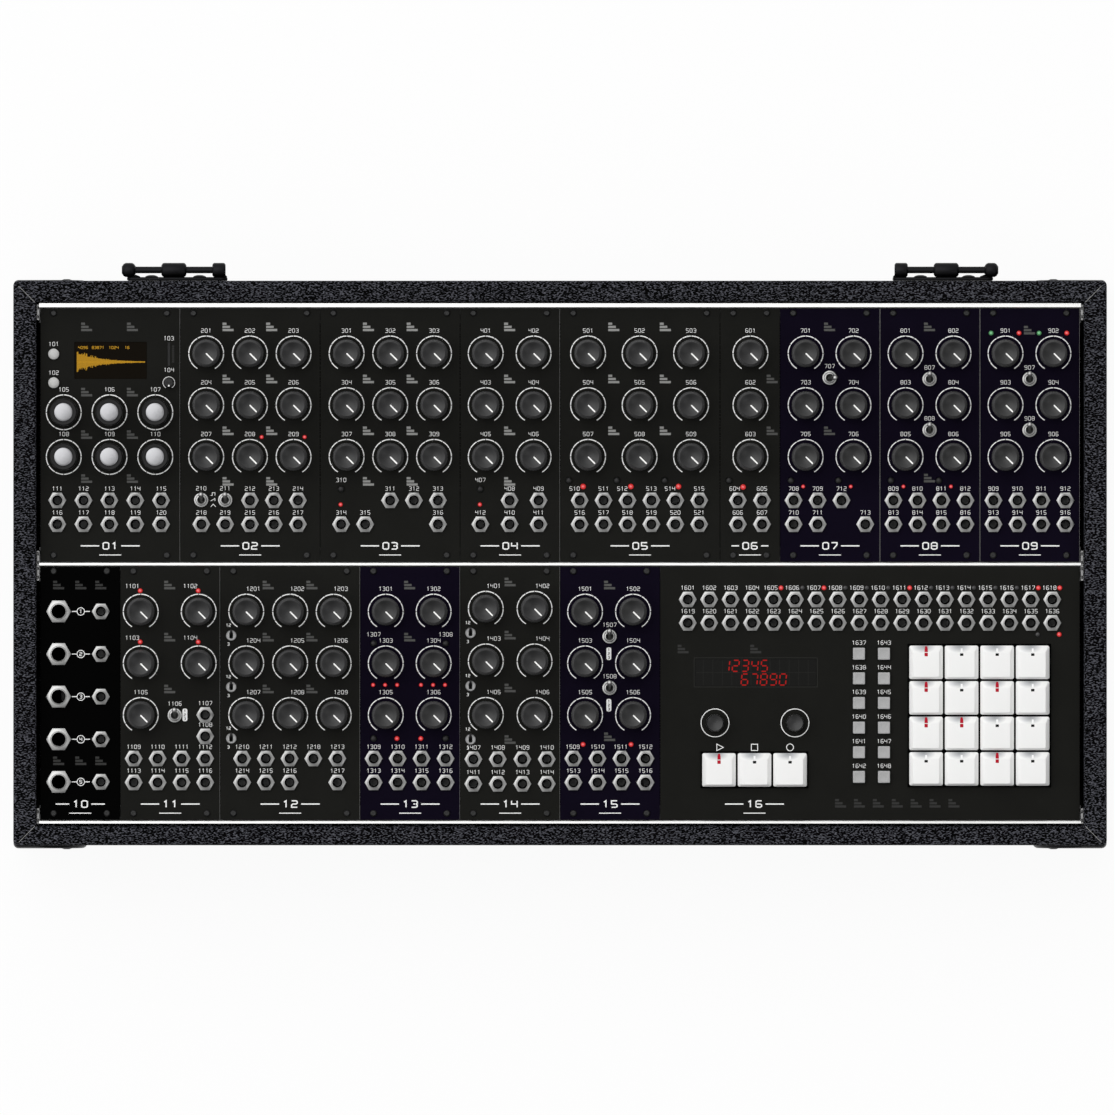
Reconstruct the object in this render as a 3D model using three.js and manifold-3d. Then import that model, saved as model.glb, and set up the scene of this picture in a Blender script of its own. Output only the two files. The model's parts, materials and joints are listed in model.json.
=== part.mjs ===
// A modular synthesizer: two rows of modules on three rails, in a portable case that lies on its feet.
// Lengths are millimetres. +X is to the player's right, +Y towards the hinges, +Z up from the table.
// The origin is the middle of the whole object's underside.

import * as THREE from "three";
import { mergeVertices } from "three/addons/utils/BufferGeometryUtils.js";
import Module from "manifold-3d";

const wasm = await Module();
wasm.setup();

// Rack: the unit of panel width, the units in a row, and a panel's own size
const unitWidth = 5.08;
const rowUnits = 104;
const panelHeight = 128.5;
const panelThickness = 2;
const panelGap = 0.3;

// Clearances: between pieces that sit on or in one another, and round a piece that moves
const seatGap = 0.3;
const runningGap = 0.35;
const overrun = 1;
const weldDistance = 0.001;

// Case: a covered wooden tray, deep enough for the modules, with a rim that stands above the panels
const wallThickness = 11.6;
const floorThickness = 6;
const caseHeight = 82;
const caseCornerRadius = 2.5;
const rimAbovePanels = 6;
const rowEndSlack = 2;

// Corner protectors: pressed steel caps round the four lower corners
const protectorLength = 37;
const protectorHeight = 34;
const protectorThickness = 0.9;
const protectorSlope = 6;
const protectorScrewRadius = 3.4;
const protectorScrewRise = 0.5;
const protectorScrewInset = 27;
const protectorScrewHeight = 15;

// Feet
const footRadius = 12;
const footTopRadius = 10;
const footHeight = 8;
const footScrewRadius = 4;
const footScrewDepth = 3;
const footInset = 46;

// Rails: a lip beside the panels, a shelf under them and a slot for the threaded strip
const lipWidth = 1.8;
const lipRise = 0.5;
const lipGap = 0.45;
const shelfReach = 7.2;
const railHeight = 9;
const stripSlotWidth = 3.2;
const stripSlotDepth = 4.5;

// Lift-off hinges on the back wall
const hingePlateWidth = 54;
const hingePlateHeight = 30;
const hingePlateThickness = 1.6;
const hingeBarrelRadius = 3.6;
const hingePinRadius = 1.7;
const hingePinStandoff = 5.5;
const hingeBelowRim = 4.2;
const hingeWebHeight = 5.4;
const hingeInset = 54.5;
const barrelEndShares = [
  [0, 0.13],
  [0.365, 0.6],
  [0.845, 0.965],
];
const pinEndShares = [0.03, 0.95];

// Boards behind the panels
const componentDepth = 10.5;
const boardThickness = 1.6;
const boardClearance = 2.6;
const boardInset = 0.6;
const bodyInset = 1.2;
const headerLength = 20;
const headerWidth = 8;
const headerHeight = 9;

// Bus board on the case floor
const busBoardLengthShare = 0.9;
const busBoardDepth = 70;
const busStandoffHeight = 5;
const busStandoffRadius = 3;
const busHeadersInRow = 6;
const busHeaderRowPitch = 34;

// Power inlet in the back wall
const inletRadius = 6;
const inletFlangeRadius = 8;
const inletFlangeThickness = 2;
const inletSocketRadius = 3.1;
const inletSocketDepth = 9;
const inletPinRadius = 1.05;
const inletInnerReach = 8;
const inletHeightShare = 0.4;

// Dial knobs
const knobRadius = 7.1;
const knobTopRadius = 5.6;
const knobHeight = 14;
const knobLift = 0.6;
const knobSkirt = 1.4;
const knobEdge = 0.8;
const knobCrown = 0.5;
const shaftRadius = 3;
const shaftDepth = 8;
const pointerLength = 5.1;
const pointerWidth = 0.9;
const pointerRise = 0.3;
const pointerSink = 0.9;
const pointerAngle = -Math.PI / 4;

// Push encoders: the larger ones carry a bright cap
const encoderCapRadius = 4.6;
const encoderCapRise = 0.8;
const smallEncoderRadius = 4.6;
const smallEncoderTopRadius = 4.2;
const smallEncoderHeight = 11;
const trimKnobRadius = 2.4;
const trimKnobHeight = 4;

// Sockets: hexagon nut, and the bore that the plug enters
const smallNutRadius = 4.5;
const smallNutHeight = 1.9;
const smallBoreRadius = 2.3;
const smallBoreDepth = 10;
const largeNutRadius = 6.35;
const largeNutHeight = 2.4;
const largeBoreRadius = 3.5;
const largeBoreDepth = 24;
const largeSocketDepth = 28;
const largeSocketWidth = 15;
const largeSocketLength = 17;

// Toggle switches
const toggleNutRadius = 3.7;
const toggleNutHeight = 1.8;
const toggleBushingRadius = 3;
const toggleBushingHeight = 4.2;
const togglePivotHeight = 1;
const toggleBallRadius = 1.3;
const toggleNeckRadius = 0.8;
const toggleTipRadius = 1.25;
const toggleLeverLength = 12.5;
const toggleTilt = (15 * Math.PI) / 180;

// Miniature toggle switches: a flat black lever in a slotted nut
const miniNutRadius = 2.6;
const miniNutHeight = 1.3;
const miniPivotDepth = 1;
const miniLeverLength = 8;
const miniLeverFoot = 1.6;
const miniLeverWidth = 1.2;
const miniLeverThickness = 1;
const miniTilt = (18 * Math.PI) / 180;

// Buttons
const darkButtonRadius = 1.4;
const darkButtonRise = 1.6;
const whiteButtonRadius = 2.75;
const whiteButtonRise = 2.2;
const squareButtonSide = 6.1;
const squareButtonRise = 2.4;
const buttonReach = 5;
const buttonTravel = 0.5;

// Keys: bevelled caps, each on a square stem that slides in its switch
const keyPitch = 18.05;
const keyGap = 1;
const keyRise = 5.6;
const keySink = 2.2;
const keyTravel = 2.5;
const keyFloorGap = 0.5;
const keyBevelDrop = 2.2;
const keySideBevel = 2;
const keyBackBevel = 3.3;
const keyFrontBevel = 1.1;
const keyStemSide = 4;
const keyStemGuide = 2;
const keyWellMargin = 0.9;
const stepKeyColumns = 4;
const stepKeyRows = 4;
const transportKeys = 3;

// Display windows and the card slot
const waveWindowWidth = 36.9;
const waveWindowHeight = 18.9;
const digitWindowWidth = 62;
const digitWindowHeight = 14.1;
const windowDepth = 0.6;
const cardSlotWidth = 1.5;
const cardSlotLength = 12.2;
const cardSlotDepth = 7;

// Places on a panel, as shares of its width from the left and of its height from the top
const knobRowShares = [0.177, 0.3816, 0.586];
const jackRowShares = [0.758, 0.8525];
const fourJackShares = [0.135, 0.375, 0.6145, 0.8545];
const pairKnobShares = [0.256, 0.735];

const keyWellWidth = (count) => count * keyPitch - keyGap + 2 * keyWellMargin;
const rowWidth = rowUnits * unitWidth;
const innerWidth = rowWidth + 2 * rowEndSlack;
const rowPitch = panelHeight + lipWidth + 2 * lipGap;
const railWidth = lipWidth + lipGap + shelfReach;
const innerDepth = rowPitch + panelHeight + 2 * (lipGap + lipWidth + seatGap);
const caseWidth = innerWidth + 2 * wallThickness;
const caseDepth = innerDepth + 2 * wallThickness;
const caseBottom = footHeight + seatGap;
const rimTop = caseBottom + caseHeight;
const panelTop = rimTop - rimAbovePanels;
const floorTop = caseBottom + floorThickness;
const boardHalfHeight = panelHeight / 2 - shelfReach - boardClearance;
const boardTop = -panelThickness - componentDepth;
const pinPlane = caseDepth / 2 + hingePinStandoff;
const backReach = hingePinStandoff + hingeBarrelRadius;
const frontReach = protectorThickness + protectorScrewRise;
const caseMiddleY = (frontReach - backReach) / 2;

// Solids

function solidOf(geometry) {
  const bare = geometry.clone();
  bare.deleteAttribute("normal");
  bare.deleteAttribute("uv");
  const merged = mergeVertices(bare, weldDistance);
  const mesh = new wasm.Mesh({
    numProp: 3,
    vertProperties: merged.attributes.position.array,
    triVerts: new Uint32Array(merged.index.array),
  });
  return new wasm.Manifold(mesh);
}

function geometryOf(solid) {
  const mesh = solid.getMesh();
  const geometry = new THREE.BufferGeometry();
  geometry.setAttribute("position", new THREE.BufferAttribute(mesh.vertProperties, mesh.numProp));
  geometry.setIndex(new THREE.BufferAttribute(mesh.triVerts, 1));
  geometry.computeVertexNormals();
  return geometry;
}

const join = (solids) => solids.reduce((sum, next) => sum.add(next));

const carve = (solid, cutters) => cutters.reduce((left, cutter) => left.subtract(cutter), solid);

// A box between two values on each axis.
function block(x, y, z) {
  const geometry = new THREE.BoxGeometry(Math.abs(x[1] - x[0]), y[1] - y[0], z[1] - z[0]);
  geometry.translate((x[0] + x[1]) / 2, (y[0] + y[1]) / 2, (z[0] + z[1]) / 2);
  return solidOf(geometry);
}

// A box round a point of the plan, with its span in height.
function plinth(at, width, depth, z) {
  return block([at.x - width / 2, at.x + width / 2], [at.y - depth / 2, at.y + depth / 2], z);
}

// An upright prism or frustum round a point of the plan; turn is the heading of its first corner.
function post(at, radius, z, { sides = 8, topRadius = radius, turn = Math.PI / sides } = {}) {
  const ring = (ringRadius, height) =>
    Array.from({ length: sides }, (_, i) => {
      const angle = turn + (2 * Math.PI * i) / sides;
      return [at.x + ringRadius * Math.cos(angle), at.y + ringRadius * Math.sin(angle), height];
    });
  return loft([ring(radius, z[0]), ring(topRadius, z[1])]);
}

// A round piece turned about Z from a profile of [radius, height] points.
function turned(profile, sides) {
  const points = profile.map(([radius, height]) => new THREE.Vector2(radius, height));
  const geometry = new THREE.LatheGeometry(points, sides);
  geometry.rotateX(Math.PI / 2);
  return solidOf(geometry);
}

// A profile of [y, z] points run along X.
function runAlongX(outline, length) {
  const shape = new THREE.Shape(outline.map(([y, z]) => new THREE.Vector2(y, z)));
  const geometry = new THREE.ExtrudeGeometry(shape, { depth: length, bevelEnabled: false });
  geometry.translate(0, 0, -length / 2);
  const basis = new THREE.Matrix4().makeBasis(
    new THREE.Vector3(0, 1, 0),
    new THREE.Vector3(0, 0, 1),
    new THREE.Vector3(1, 0, 0),
  );
  geometry.applyMatrix4(basis);
  return solidOf(geometry);
}

// A skin over rings of points, from the lowest ring to the highest.
function loft(rings) {
  const count = rings[0].length;
  const faces = [];
  for (let level = 0; level < rings.length - 1; level += 1) {
    for (let i = 0; i < count; i += 1) {
      const low = level * count;
      const next = (i + 1) % count;
      faces.push(low + i, low + next, low + count + next);
      faces.push(low + i, low + count + next, low + count + i);
    }
  }
  const last = (rings.length - 1) * count;
  for (let i = 1; i < count - 1; i += 1) {
    faces.push(0, i + 1, i);
    faces.push(last, last + i, last + i + 1);
  }
  const geometry = new THREE.BufferGeometry();
  geometry.setAttribute("position", new THREE.Float32BufferAttribute(rings.flat(2), 3));
  geometry.setIndex(faces);
  return solidOf(geometry);
}

// A rectangle as one ring for a loft.
function rectangleRing(x, y, z) {
  return [
    [x[0], y[0], z],
    [x[1], y[0], z],
    [x[1], y[1], z],
    [x[0], y[1], z],
  ];
}

// Finishes

const finish = (color, roughness, metalness) =>
  new THREE.MeshStandardMaterial({ color, roughness, metalness });

const coveredWood = finish(0x18181a, 0.85, 0);
const warmPanel = finish(0x1d1c18, 0.6, 0.2);
const coolPanel = finish(0x0f0b18, 0.6, 0.2);
const blackPanel = finish(0x050505, 0.6, 0.2);
const railMetal = finish(0xc9c9c7, 0.35, 1);
const blackSteel = finish(0x161616, 0.45, 0.6);
const rubber = finish(0x0d0d0d, 0.9, 0);
const circuitBoard = finish(0x12351f, 0.6, 0);
const knobPlastic = finish(0x343434, 0.55, 0);
const keyPlastic = finish(0xeeeeec, 0.4, 0);
const greyPlastic = finish(0xc8c8c6, 0.45, 0);
const blackPlastic = finish(0x0a0a0a, 0.4, 0);
const nickel = finish(0xb9b9b6, 0.3, 1);

function piece(name, solid, material) {
  const mesh = new THREE.Mesh(geometryOf(solid), material);
  mesh.name = name;
  return mesh;
}

// Case

function roundedRectangle(width, depth, radius) {
  const shape = new THREE.Shape();
  const x = width / 2 - radius;
  const y = depth / 2 - radius;
  shape.absarc(x, y, radius, 0, Math.PI / 2);
  shape.absarc(-x, y, radius, Math.PI / 2, Math.PI);
  shape.absarc(-x, -y, radius, Math.PI, 1.5 * Math.PI);
  shape.absarc(x, -y, radius, 1.5 * Math.PI, 2 * Math.PI);
  return shape;
}

function standingSlab(shape, z) {
  const options = { depth: z[1] - z[0], bevelEnabled: false, curveSegments: 3 };
  const geometry = new THREE.ExtrudeGeometry(shape, options);
  geometry.translate(0, 0, z[0]);
  return solidOf(geometry);
}

// One cap: it wraps both walls and the floor at its corner, and its upper edge slopes back to the walls.
function cornerProtector(sideX, sideY) {
  const reach = { x: caseWidth / 2 + protectorThickness, y: caseDepth / 2 + protectorThickness };
  const spanX = [reach.x - protectorLength, reach.x];
  const spanY = [reach.y - protectorLength, reach.y];
  const low = caseBottom - protectorThickness;
  const high = caseBottom + protectorHeight;
  const outer = [spanX[1] - protectorThickness, spanY[1] - protectorThickness];
  const rings = [
    rectangleRing(spanX, spanY, low),
    rectangleRing(spanX, spanY, high - protectorSlope),
    rectangleRing([spanX[0], outer[0]], [spanY[0], outer[1]], high),
  ];
  const mirrored = rings.map((ring) => ring.map(([x, y, z]) => [x * sideX, y * sideY, z]));
  return loft(sideX * sideY > 0 ? mirrored : mirrored.map((ring) => ring.reverse()));
}

// The domed head of the screw in a cap's front or back face.
function protectorScrew(sideX, sideY) {
  const sides = 8;
  const height = protectorThickness + protectorScrewRise;
  const geometry = new THREE.CylinderGeometry(protectorScrewRadius / 2, protectorScrewRadius, height, sides);
  geometry.rotateX(sideY > 0 ? 0 : Math.PI);
  const x = sideX * (caseWidth / 2 + protectorThickness - protectorScrewInset);
  geometry.translate(x, (sideY * (caseDepth + height)) / 2, caseBottom + protectorScrewHeight);
  return solidOf(geometry);
}

function inletPlace() {
  return { x: 0, z: caseBottom + caseHeight * inletHeightShare };
}

// A round bar or bore along Y at the power inlet.
function inletBar(radius, y, sides = 8) {
  const { x, z } = inletPlace();
  const geometry = new THREE.CylinderGeometry(radius, radius, y[1] - y[0], sides);
  geometry.translate(x, (y[0] + y[1]) / 2, z);
  return solidOf(geometry);
}

function caseShell() {
  const outline = roundedRectangle(caseWidth, caseDepth, caseCornerRadius);
  const tray = standingSlab(outline, [caseBottom, rimTop]);
  const caps = [-1, 1].flatMap((sideX) =>
    [-1, 1].map((sideY) => cornerProtector(sideX, sideY).add(protectorScrew(sideX, sideY))),
  );
  const hollow = plinth({ x: 0, y: 0 }, innerWidth, innerDepth, [floorTop, rimTop + overrun]);
  const back = caseDepth / 2;
  const inletBore = inletBar(inletRadius + seatGap, [innerDepth / 2 - overrun, back + overrun]);
  const pocketFloor = back - inletFlangeThickness - seatGap;
  const inletPocket = inletBar(inletFlangeRadius + seatGap, [pocketFloor, back + overrun]);
  return carve(join([tray, ...caps]), [hollow, inletBore, inletPocket]);
}

function powerInlet() {
  const back = caseDepth / 2;
  const flange = inletBar(inletFlangeRadius, [back - inletFlangeThickness, back]);
  const body = inletBar(inletRadius, [innerDepth / 2 - inletInnerReach, back]);
  const socket = inletBar(inletSocketRadius, [back - inletSocketDepth, back + overrun]);
  const pin = inletBar(inletPinRadius, [back - inletSocketDepth - overrun, back - overrun], 6);
  return join([flange, body]).subtract(socket).add(pin);
}

function foot() {
  const top = footHeight;
  const profile = [
    [0, footScrewDepth],
    [footScrewRadius, footScrewDepth],
    [footScrewRadius, 0],
    [footTopRadius, 0],
    [footRadius, top],
    [0, top],
  ];
  return turned(profile, 8);
}

// Rails, with height zero at the panels' upper face and y zero at the outer side of the lip

function edgeRailOutline() {
  const shelf = -panelThickness - seatGap;
  const slotMiddle = lipWidth + lipGap + shelfReach / 2;
  const slot = [slotMiddle - stripSlotWidth / 2, slotMiddle + stripSlotWidth / 2];
  return [
    [0, lipRise],
    [0, -railHeight],
    [railWidth, -railHeight],
    [railWidth, shelf],
    [slot[1], shelf],
    [slot[1], shelf - stripSlotDepth],
    [slot[0], shelf - stripSlotDepth],
    [slot[0], shelf],
    [lipWidth, shelf],
    [lipWidth, lipRise],
  ];
}

function railLength() {
  return innerWidth - 2 * seatGap;
}

function edgeRail(side) {
  const edge = innerDepth / 2 - seatGap;
  const outline = edgeRailOutline().map(([y, z]) => [side * (edge - y), panelTop + z]);
  return runAlongX(outline, railLength());
}

// The middle rail is two edge rails back to back that share one lip.
function centreRail() {
  const half = edgeRailOutline().map(([y, z]) => [y - lipWidth / 2, panelTop + z]);
  const inner = half.filter(([y]) => y > 0);
  const mirrored = inner.map(([y, z]) => [-y, z]).reverse();
  return runAlongX([...inner, ...mirrored], railLength());
}

// Hinges

function hingeSpan(side, shares) {
  const outer = caseWidth / 2 - hingeInset;
  const ends = shares.map((share) => side * (outer - share * hingePlateWidth));
  return ends.sort((a, b) => a - b);
}

// A bar or bore along the hinges' axis, with a corner of its section facing straight back.
function barAlongX(x, radius, sides = 8) {
  const geometry = new THREE.CylinderGeometry(radius, radius, x[1] - x[0], sides);
  geometry.rotateZ(Math.PI / 2);
  geometry.translate((x[0] + x[1]) / 2, pinPlane, rimTop - hingeBelowRim);
  return solidOf(geometry);
}

function hingeLeaf(side) {
  const axisZ = rimTop - hingeBelowRim;
  const wallFace = caseDepth / 2 + seatGap;
  const plateFace = wallFace + hingePlateThickness;
  const plate = block(hingeSpan(side, [0, 1]), [wallFace, plateFace], [axisZ - hingePlateHeight, axisZ]);
  const barrels = barrelEndShares.map((shares) => {
    const span = hingeSpan(side, shares);
    const web = block(span, [wallFace, pinPlane], [axisZ - hingeWebHeight, axisZ]);
    return barAlongX(span, hingeBarrelRadius).add(web);
  });
  const [low, high] = hingeSpan(side, [0, 1]);
  const bore = barAlongX([low - overrun, high + overrun], hingePinRadius + seatGap);
  return join([plate, ...barrels]).subtract(bore);
}

function hingePin(side) {
  return barAlongX(hingeSpan(side, pinEndShares), hingePinRadius);
}

// Bus board

function busBoard() {
  const length = rowWidth * busBoardLengthShare;
  const under = floorTop + seatGap + busStandoffHeight;
  const top = under + boardThickness;
  const middle = under + boardThickness / 2;
  const board = plinth({ x: 0, y: 0 }, length, busBoardDepth, [under, top]);
  const pitch = length / busHeadersInRow;
  const headers = [];
  for (const sideY of [-1, 1]) {
    for (let i = 0; i < busHeadersInRow; i += 1) {
      const at = { x: (i + 0.5) * pitch - length / 2, y: (sideY * busHeaderRowPitch) / 2 };
      headers.push(plinth(at, headerLength, headerWidth, [middle, top + headerHeight]));
    }
  }
  const corner = { x: (length - pitch) / 2, y: busBoardDepth / 2 - 2 * busStandoffRadius };
  const standoffs = [-1, 1].flatMap((sideX) =>
    [-1, 1].map((sideY) => {
      const at = { x: sideX * corner.x, y: sideY * corner.y };
      return post(at, busStandoffRadius, [floorTop + seatGap, middle], { sides: 6 });
    }),
  );
  return join([board, ...headers, ...standoffs]);
}

// Controls, each round its own point of the panel's upper face

const below = -panelThickness / 2;

function hexNut(at, radius, height) {
  return post(at, radius, [below, height], { sides: 6, turn: 0 });
}

function plugBore(at, radius, depth, nutHeight, sides) {
  return post(at, radius, [-depth, nutHeight + overrun], { sides });
}

// A dial knob with few faces, for the knobs that are one piece with their panel.
function plainKnob(at) {
  return post(at, knobRadius, [below, knobHeight], { sides: 7, topRadius: knobTopRadius });
}

function pointer(height) {
  const geometry = new THREE.BoxGeometry(pointerLength, pointerWidth, pointerRise + pointerSink);
  geometry.translate(pointerLength / 2, 0, height + (pointerRise - pointerSink) / 2);
  geometry.rotateZ(pointerAngle);
  return solidOf(geometry);
}

// A dial knob on its shaft, turned as one round piece, with a raised pointer line.
function dialKnob() {
  const body = [
    [0, -shaftDepth],
    [shaftRadius, -shaftDepth],
    [shaftRadius, knobLift],
    [knobRadius, knobLift],
    [knobRadius, knobLift + knobSkirt],
    [knobTopRadius, knobHeight - knobEdge],
    [knobTopRadius - knobEdge, knobHeight],
    [0, knobHeight + knobCrown],
  ];
  return turned(body, 10).add(pointer(knobHeight + knobCrown));
}

function shaftBore(at) {
  const sides = 10;
  const radius = (shaftRadius + runningGap) / Math.cos(Math.PI / sides);
  return post(at, radius, [-shaftDepth - runningGap, overrun], { sides });
}

function plainCappedEncoder(at) {
  const cap = [knobHeight - overrun, knobHeight + encoderCapRise];
  return plainKnob(at).add(post(at, encoderCapRadius, cap));
}

function cappedEncoder() {
  const capTop = knobHeight + encoderCapRise;
  const body = [
    [0, -shaftDepth],
    [shaftRadius, -shaftDepth],
    [shaftRadius, knobLift],
    [knobRadius, knobLift],
    [knobRadius, knobLift + knobSkirt],
    [knobTopRadius, knobHeight],
    [encoderCapRadius, knobHeight],
    [encoderCapRadius, capTop],
    [0, capTop],
  ];
  return turned(body, 10);
}

function smallEncoder() {
  const body = [
    [0, -shaftDepth],
    [shaftRadius, -shaftDepth],
    [shaftRadius, knobLift],
    [smallEncoderRadius, knobLift],
    [smallEncoderTopRadius, smallEncoderHeight - knobEdge],
    [smallEncoderTopRadius - knobEdge, smallEncoderHeight],
    [0, smallEncoderHeight],
  ];
  return turned(body, 10);
}

function trimKnob(at) {
  return post(at, trimKnobRadius, [below, trimKnobHeight]);
}

// A lever leans from its pivot towards a heading, measured from +X.
function lean(geometry, tilt, heading, at, pivotHeight) {
  geometry.rotateY(tilt);
  geometry.rotateZ(heading);
  geometry.translate(at.x, at.y, pivotHeight);
  return geometry;
}

function toggleSeat(at) {
  const nut = post(at, toggleNutRadius, [below, toggleNutHeight]);
  return nut.add(post(at, toggleBushingRadius, [below, toggleBushingHeight]));
}

function plainToggle(at, { heading }) {
  const sides = 5;
  const lever = new THREE.CylinderGeometry(toggleTipRadius, toggleNeckRadius, toggleLeverLength, sides);
  lever.rotateX(Math.PI / 2);
  lever.translate(0, 0, toggleLeverLength / 2);
  const nut = post(at, toggleNutRadius, [below, toggleNutHeight]);
  return nut.add(solidOf(lean(lever, toggleTilt, heading, at, togglePivotHeight)));
}

function toggleLever(heading) {
  const tipLow = toggleLeverLength - 2 * toggleTipRadius;
  const profile = [
    [0, -toggleBallRadius],
    [toggleBallRadius, 0],
    [toggleNeckRadius, toggleBallRadius],
    [toggleTipRadius, tipLow],
    [toggleTipRadius, toggleLeverLength - toggleTipRadius / 2],
    [toggleTipRadius / 2, toggleLeverLength],
    [0, toggleLeverLength],
  ];
  const upright = geometryOf(turned(profile, 8));
  return solidOf(lean(upright, toggleTilt, heading, { x: 0, y: 0 }, togglePivotHeight));
}

// The bore opens upwards as far as the leaning lever needs on both sides.
function toggleBore(at) {
  const sides = 8;
  const flats = Math.cos(Math.PI / sides);
  const rise = toggleBushingHeight - togglePivotHeight;
  const swing = rise * Math.tan(toggleTilt) + toggleNeckRadius / Math.cos(toggleTilt);
  const mouth = (swing + runningGap) / flats;
  const pivot = (toggleBallRadius + runningGap) / flats;
  const bottom = togglePivotHeight - toggleBallRadius - runningGap;
  const throat = post(at, pivot, [bottom, togglePivotHeight]);
  const cone = post(at, pivot, [togglePivotHeight, toggleBushingHeight], { topRadius: mouth });
  return throat.add(cone);
}

function miniLeverShape(at, heading) {
  const length = miniLeverLength + miniLeverFoot;
  const geometry = new THREE.BoxGeometry(miniLeverThickness, miniLeverWidth, length);
  geometry.translate(0, 0, length / 2 - miniLeverFoot);
  return solidOf(lean(geometry, miniTilt, heading, at, -miniPivotDepth));
}

function plainMiniToggle(at, { heading }) {
  return hexNut(at, miniNutRadius, miniNutHeight).add(miniLeverShape(at, heading));
}

// The slot lets the lever swing one way and holds it the other way.
function miniSlot(at) {
  const reach = Math.max(miniNutHeight + miniPivotDepth, miniLeverFoot);
  const swing = reach * Math.tan(miniTilt) + miniLeverThickness / 2 / Math.cos(miniTilt);
  const width = miniLeverWidth + 2 * runningGap;
  const bottom = -miniPivotDepth - miniLeverFoot - runningGap;
  return plinth(at, width, 2 * (swing + runningGap), [bottom, miniNutHeight + overrun]);
}

const buttonHoleSpan = [-buttonReach - buttonTravel - runningGap, overrun];

const roundButton = (at, radius, rise, sides, low = below) => post(at, radius, [low, rise], { sides });

function roundButtonHole(at, radius, sides) {
  return post(at, radius + runningGap / Math.cos(Math.PI / sides), buttonHoleSpan, { sides });
}

const squareButton = (at, low = below) =>
  plinth(at, squareButtonSide, squareButtonSide, [low, squareButtonRise]);

function squareButtonHole(at) {
  const side = squareButtonSide + 2 * runningGap;
  return plinth(at, side, side, buttonHoleSpan);
}

// Keys

const keyWellDepth = keySink + keyTravel + keyFloorGap;

function keyCap() {
  const half = (keyPitch - keyGap) / 2;
  const side = [-half, half];
  const shoulder = keyRise - keyBevelDrop;
  const topX = [-half + keySideBevel, half - keySideBevel];
  const topY = [-half + keyFrontBevel, half - keyBackBevel];
  const cap = loft([
    rectangleRing(side, side, -keySink),
    rectangleRing(side, side, shoulder),
    rectangleRing(topX, topY, keyRise),
  ]);
  const stemBottom = -keyWellDepth - keyStemGuide;
  const stem = plinth({ x: 0, y: 0 }, keyStemSide, keyStemSide, [stemBottom, -keySink + overrun]);
  return cap.add(stem);
}

function keyWell(at, columns, rows) {
  return plinth(at, keyWellWidth(columns), keyWellWidth(rows), [-keyWellDepth, overrun]);
}

function keyStemHole(at) {
  const side = keyStemSide + 2 * runningGap;
  const bottom = -keyWellDepth - keyStemGuide - keyTravel - runningGap;
  return plinth(at, side, side, [bottom, -keyWellDepth + overrun]);
}

// Each kind of control: what it adds to its panel and cuts from it, and, where it can move, its own piece
const up = Math.PI / 2;
const right = 0;
const kinds = {
  jack: {
    add: (at) => hexNut(at, smallNutRadius, smallNutHeight),
    cut: (at) => plugBore(at, smallBoreRadius, smallBoreDepth, smallNutHeight, 5),
  },
  socket: {
    add: (at) => hexNut(at, largeNutRadius, largeNutHeight),
    cut: (at) => plugBore(at, largeBoreRadius, largeBoreDepth, largeNutHeight, 8),
  },
  knob: { add: plainKnob, seat: { cut: shaftBore }, make: dialKnob, material: knobPlastic },
  cappedEncoder: {
    add: plainCappedEncoder,
    seat: { cut: shaftBore },
    make: cappedEncoder,
    material: knobPlastic,
  },
  smallEncoder: { seat: { cut: shaftBore }, make: smallEncoder, material: knobPlastic },
  trimKnob: { add: trimKnob },
  toggle: {
    add: plainToggle,
    seat: { add: toggleSeat, cut: toggleBore },
    make: ({ heading }) => toggleLever(heading),
    material: nickel,
  },
  miniToggle: {
    add: plainMiniToggle,
    seat: { add: (at) => hexNut(at, miniNutRadius, miniNutHeight), cut: miniSlot },
    make: ({ heading }) => miniLeverShape({ x: 0, y: 0 }, heading),
    material: blackPlastic,
  },
  darkButton: {
    add: (at) => roundButton(at, darkButtonRadius, darkButtonRise, 6),
    seat: { cut: (at) => roundButtonHole(at, darkButtonRadius, 10) },
    make: () => roundButton({ x: 0, y: 0 }, darkButtonRadius, darkButtonRise, 10, -buttonReach),
    material: blackPlastic,
  },
  whiteButton: {
    add: (at) => roundButton(at, whiteButtonRadius, whiteButtonRise, 10),
    seat: { cut: (at) => roundButtonHole(at, whiteButtonRadius, 12) },
    make: () => roundButton({ x: 0, y: 0 }, whiteButtonRadius, whiteButtonRise, 12, -buttonReach),
    material: keyPlastic,
  },
  squareButton: {
    add: (at) => squareButton(at),
    seat: { cut: squareButtonHole },
    make: () => squareButton({ x: 0, y: 0 }, -buttonReach),
    material: greyPlastic,
  },
  key: { seat: { cut: keyStemHole }, make: keyCap, material: keyPlastic },
  keyWell: { cut: (at, { columns, rows }) => keyWell(at, columns, rows) },
  waveWindow: { cut: (at) => plinth(at, waveWindowWidth, waveWindowHeight, [-windowDepth, overrun]) },
  digitWindow: { cut: (at) => plinth(at, digitWindowWidth, digitWindowHeight, [-windowDepth, overrun]) },
  cardSlot: { cut: (at) => plinth(at, cardSlotWidth, cardSlotLength, [-cardSlotDepth, overrun]) },
};

// The modules of each row from left to right
const sequencerKeyShares = { step: [0.7605, 0.5883], transport: [0.225, 0.8029] };
const encoderPairShares = [0.131, 0.3214];
const sequencerJackPlaces = 18;
const sequencerJackEndShares = [0.066, 0.9342];
const squareButtonsInColumn = 6;
const squareButtonEndShares = [0.3435, 0.8306];

function spreadShares([first, last], count) {
  return Array.from({ length: count }, (_, i) => first + ((last - first) * i) / (count - 1));
}

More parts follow.
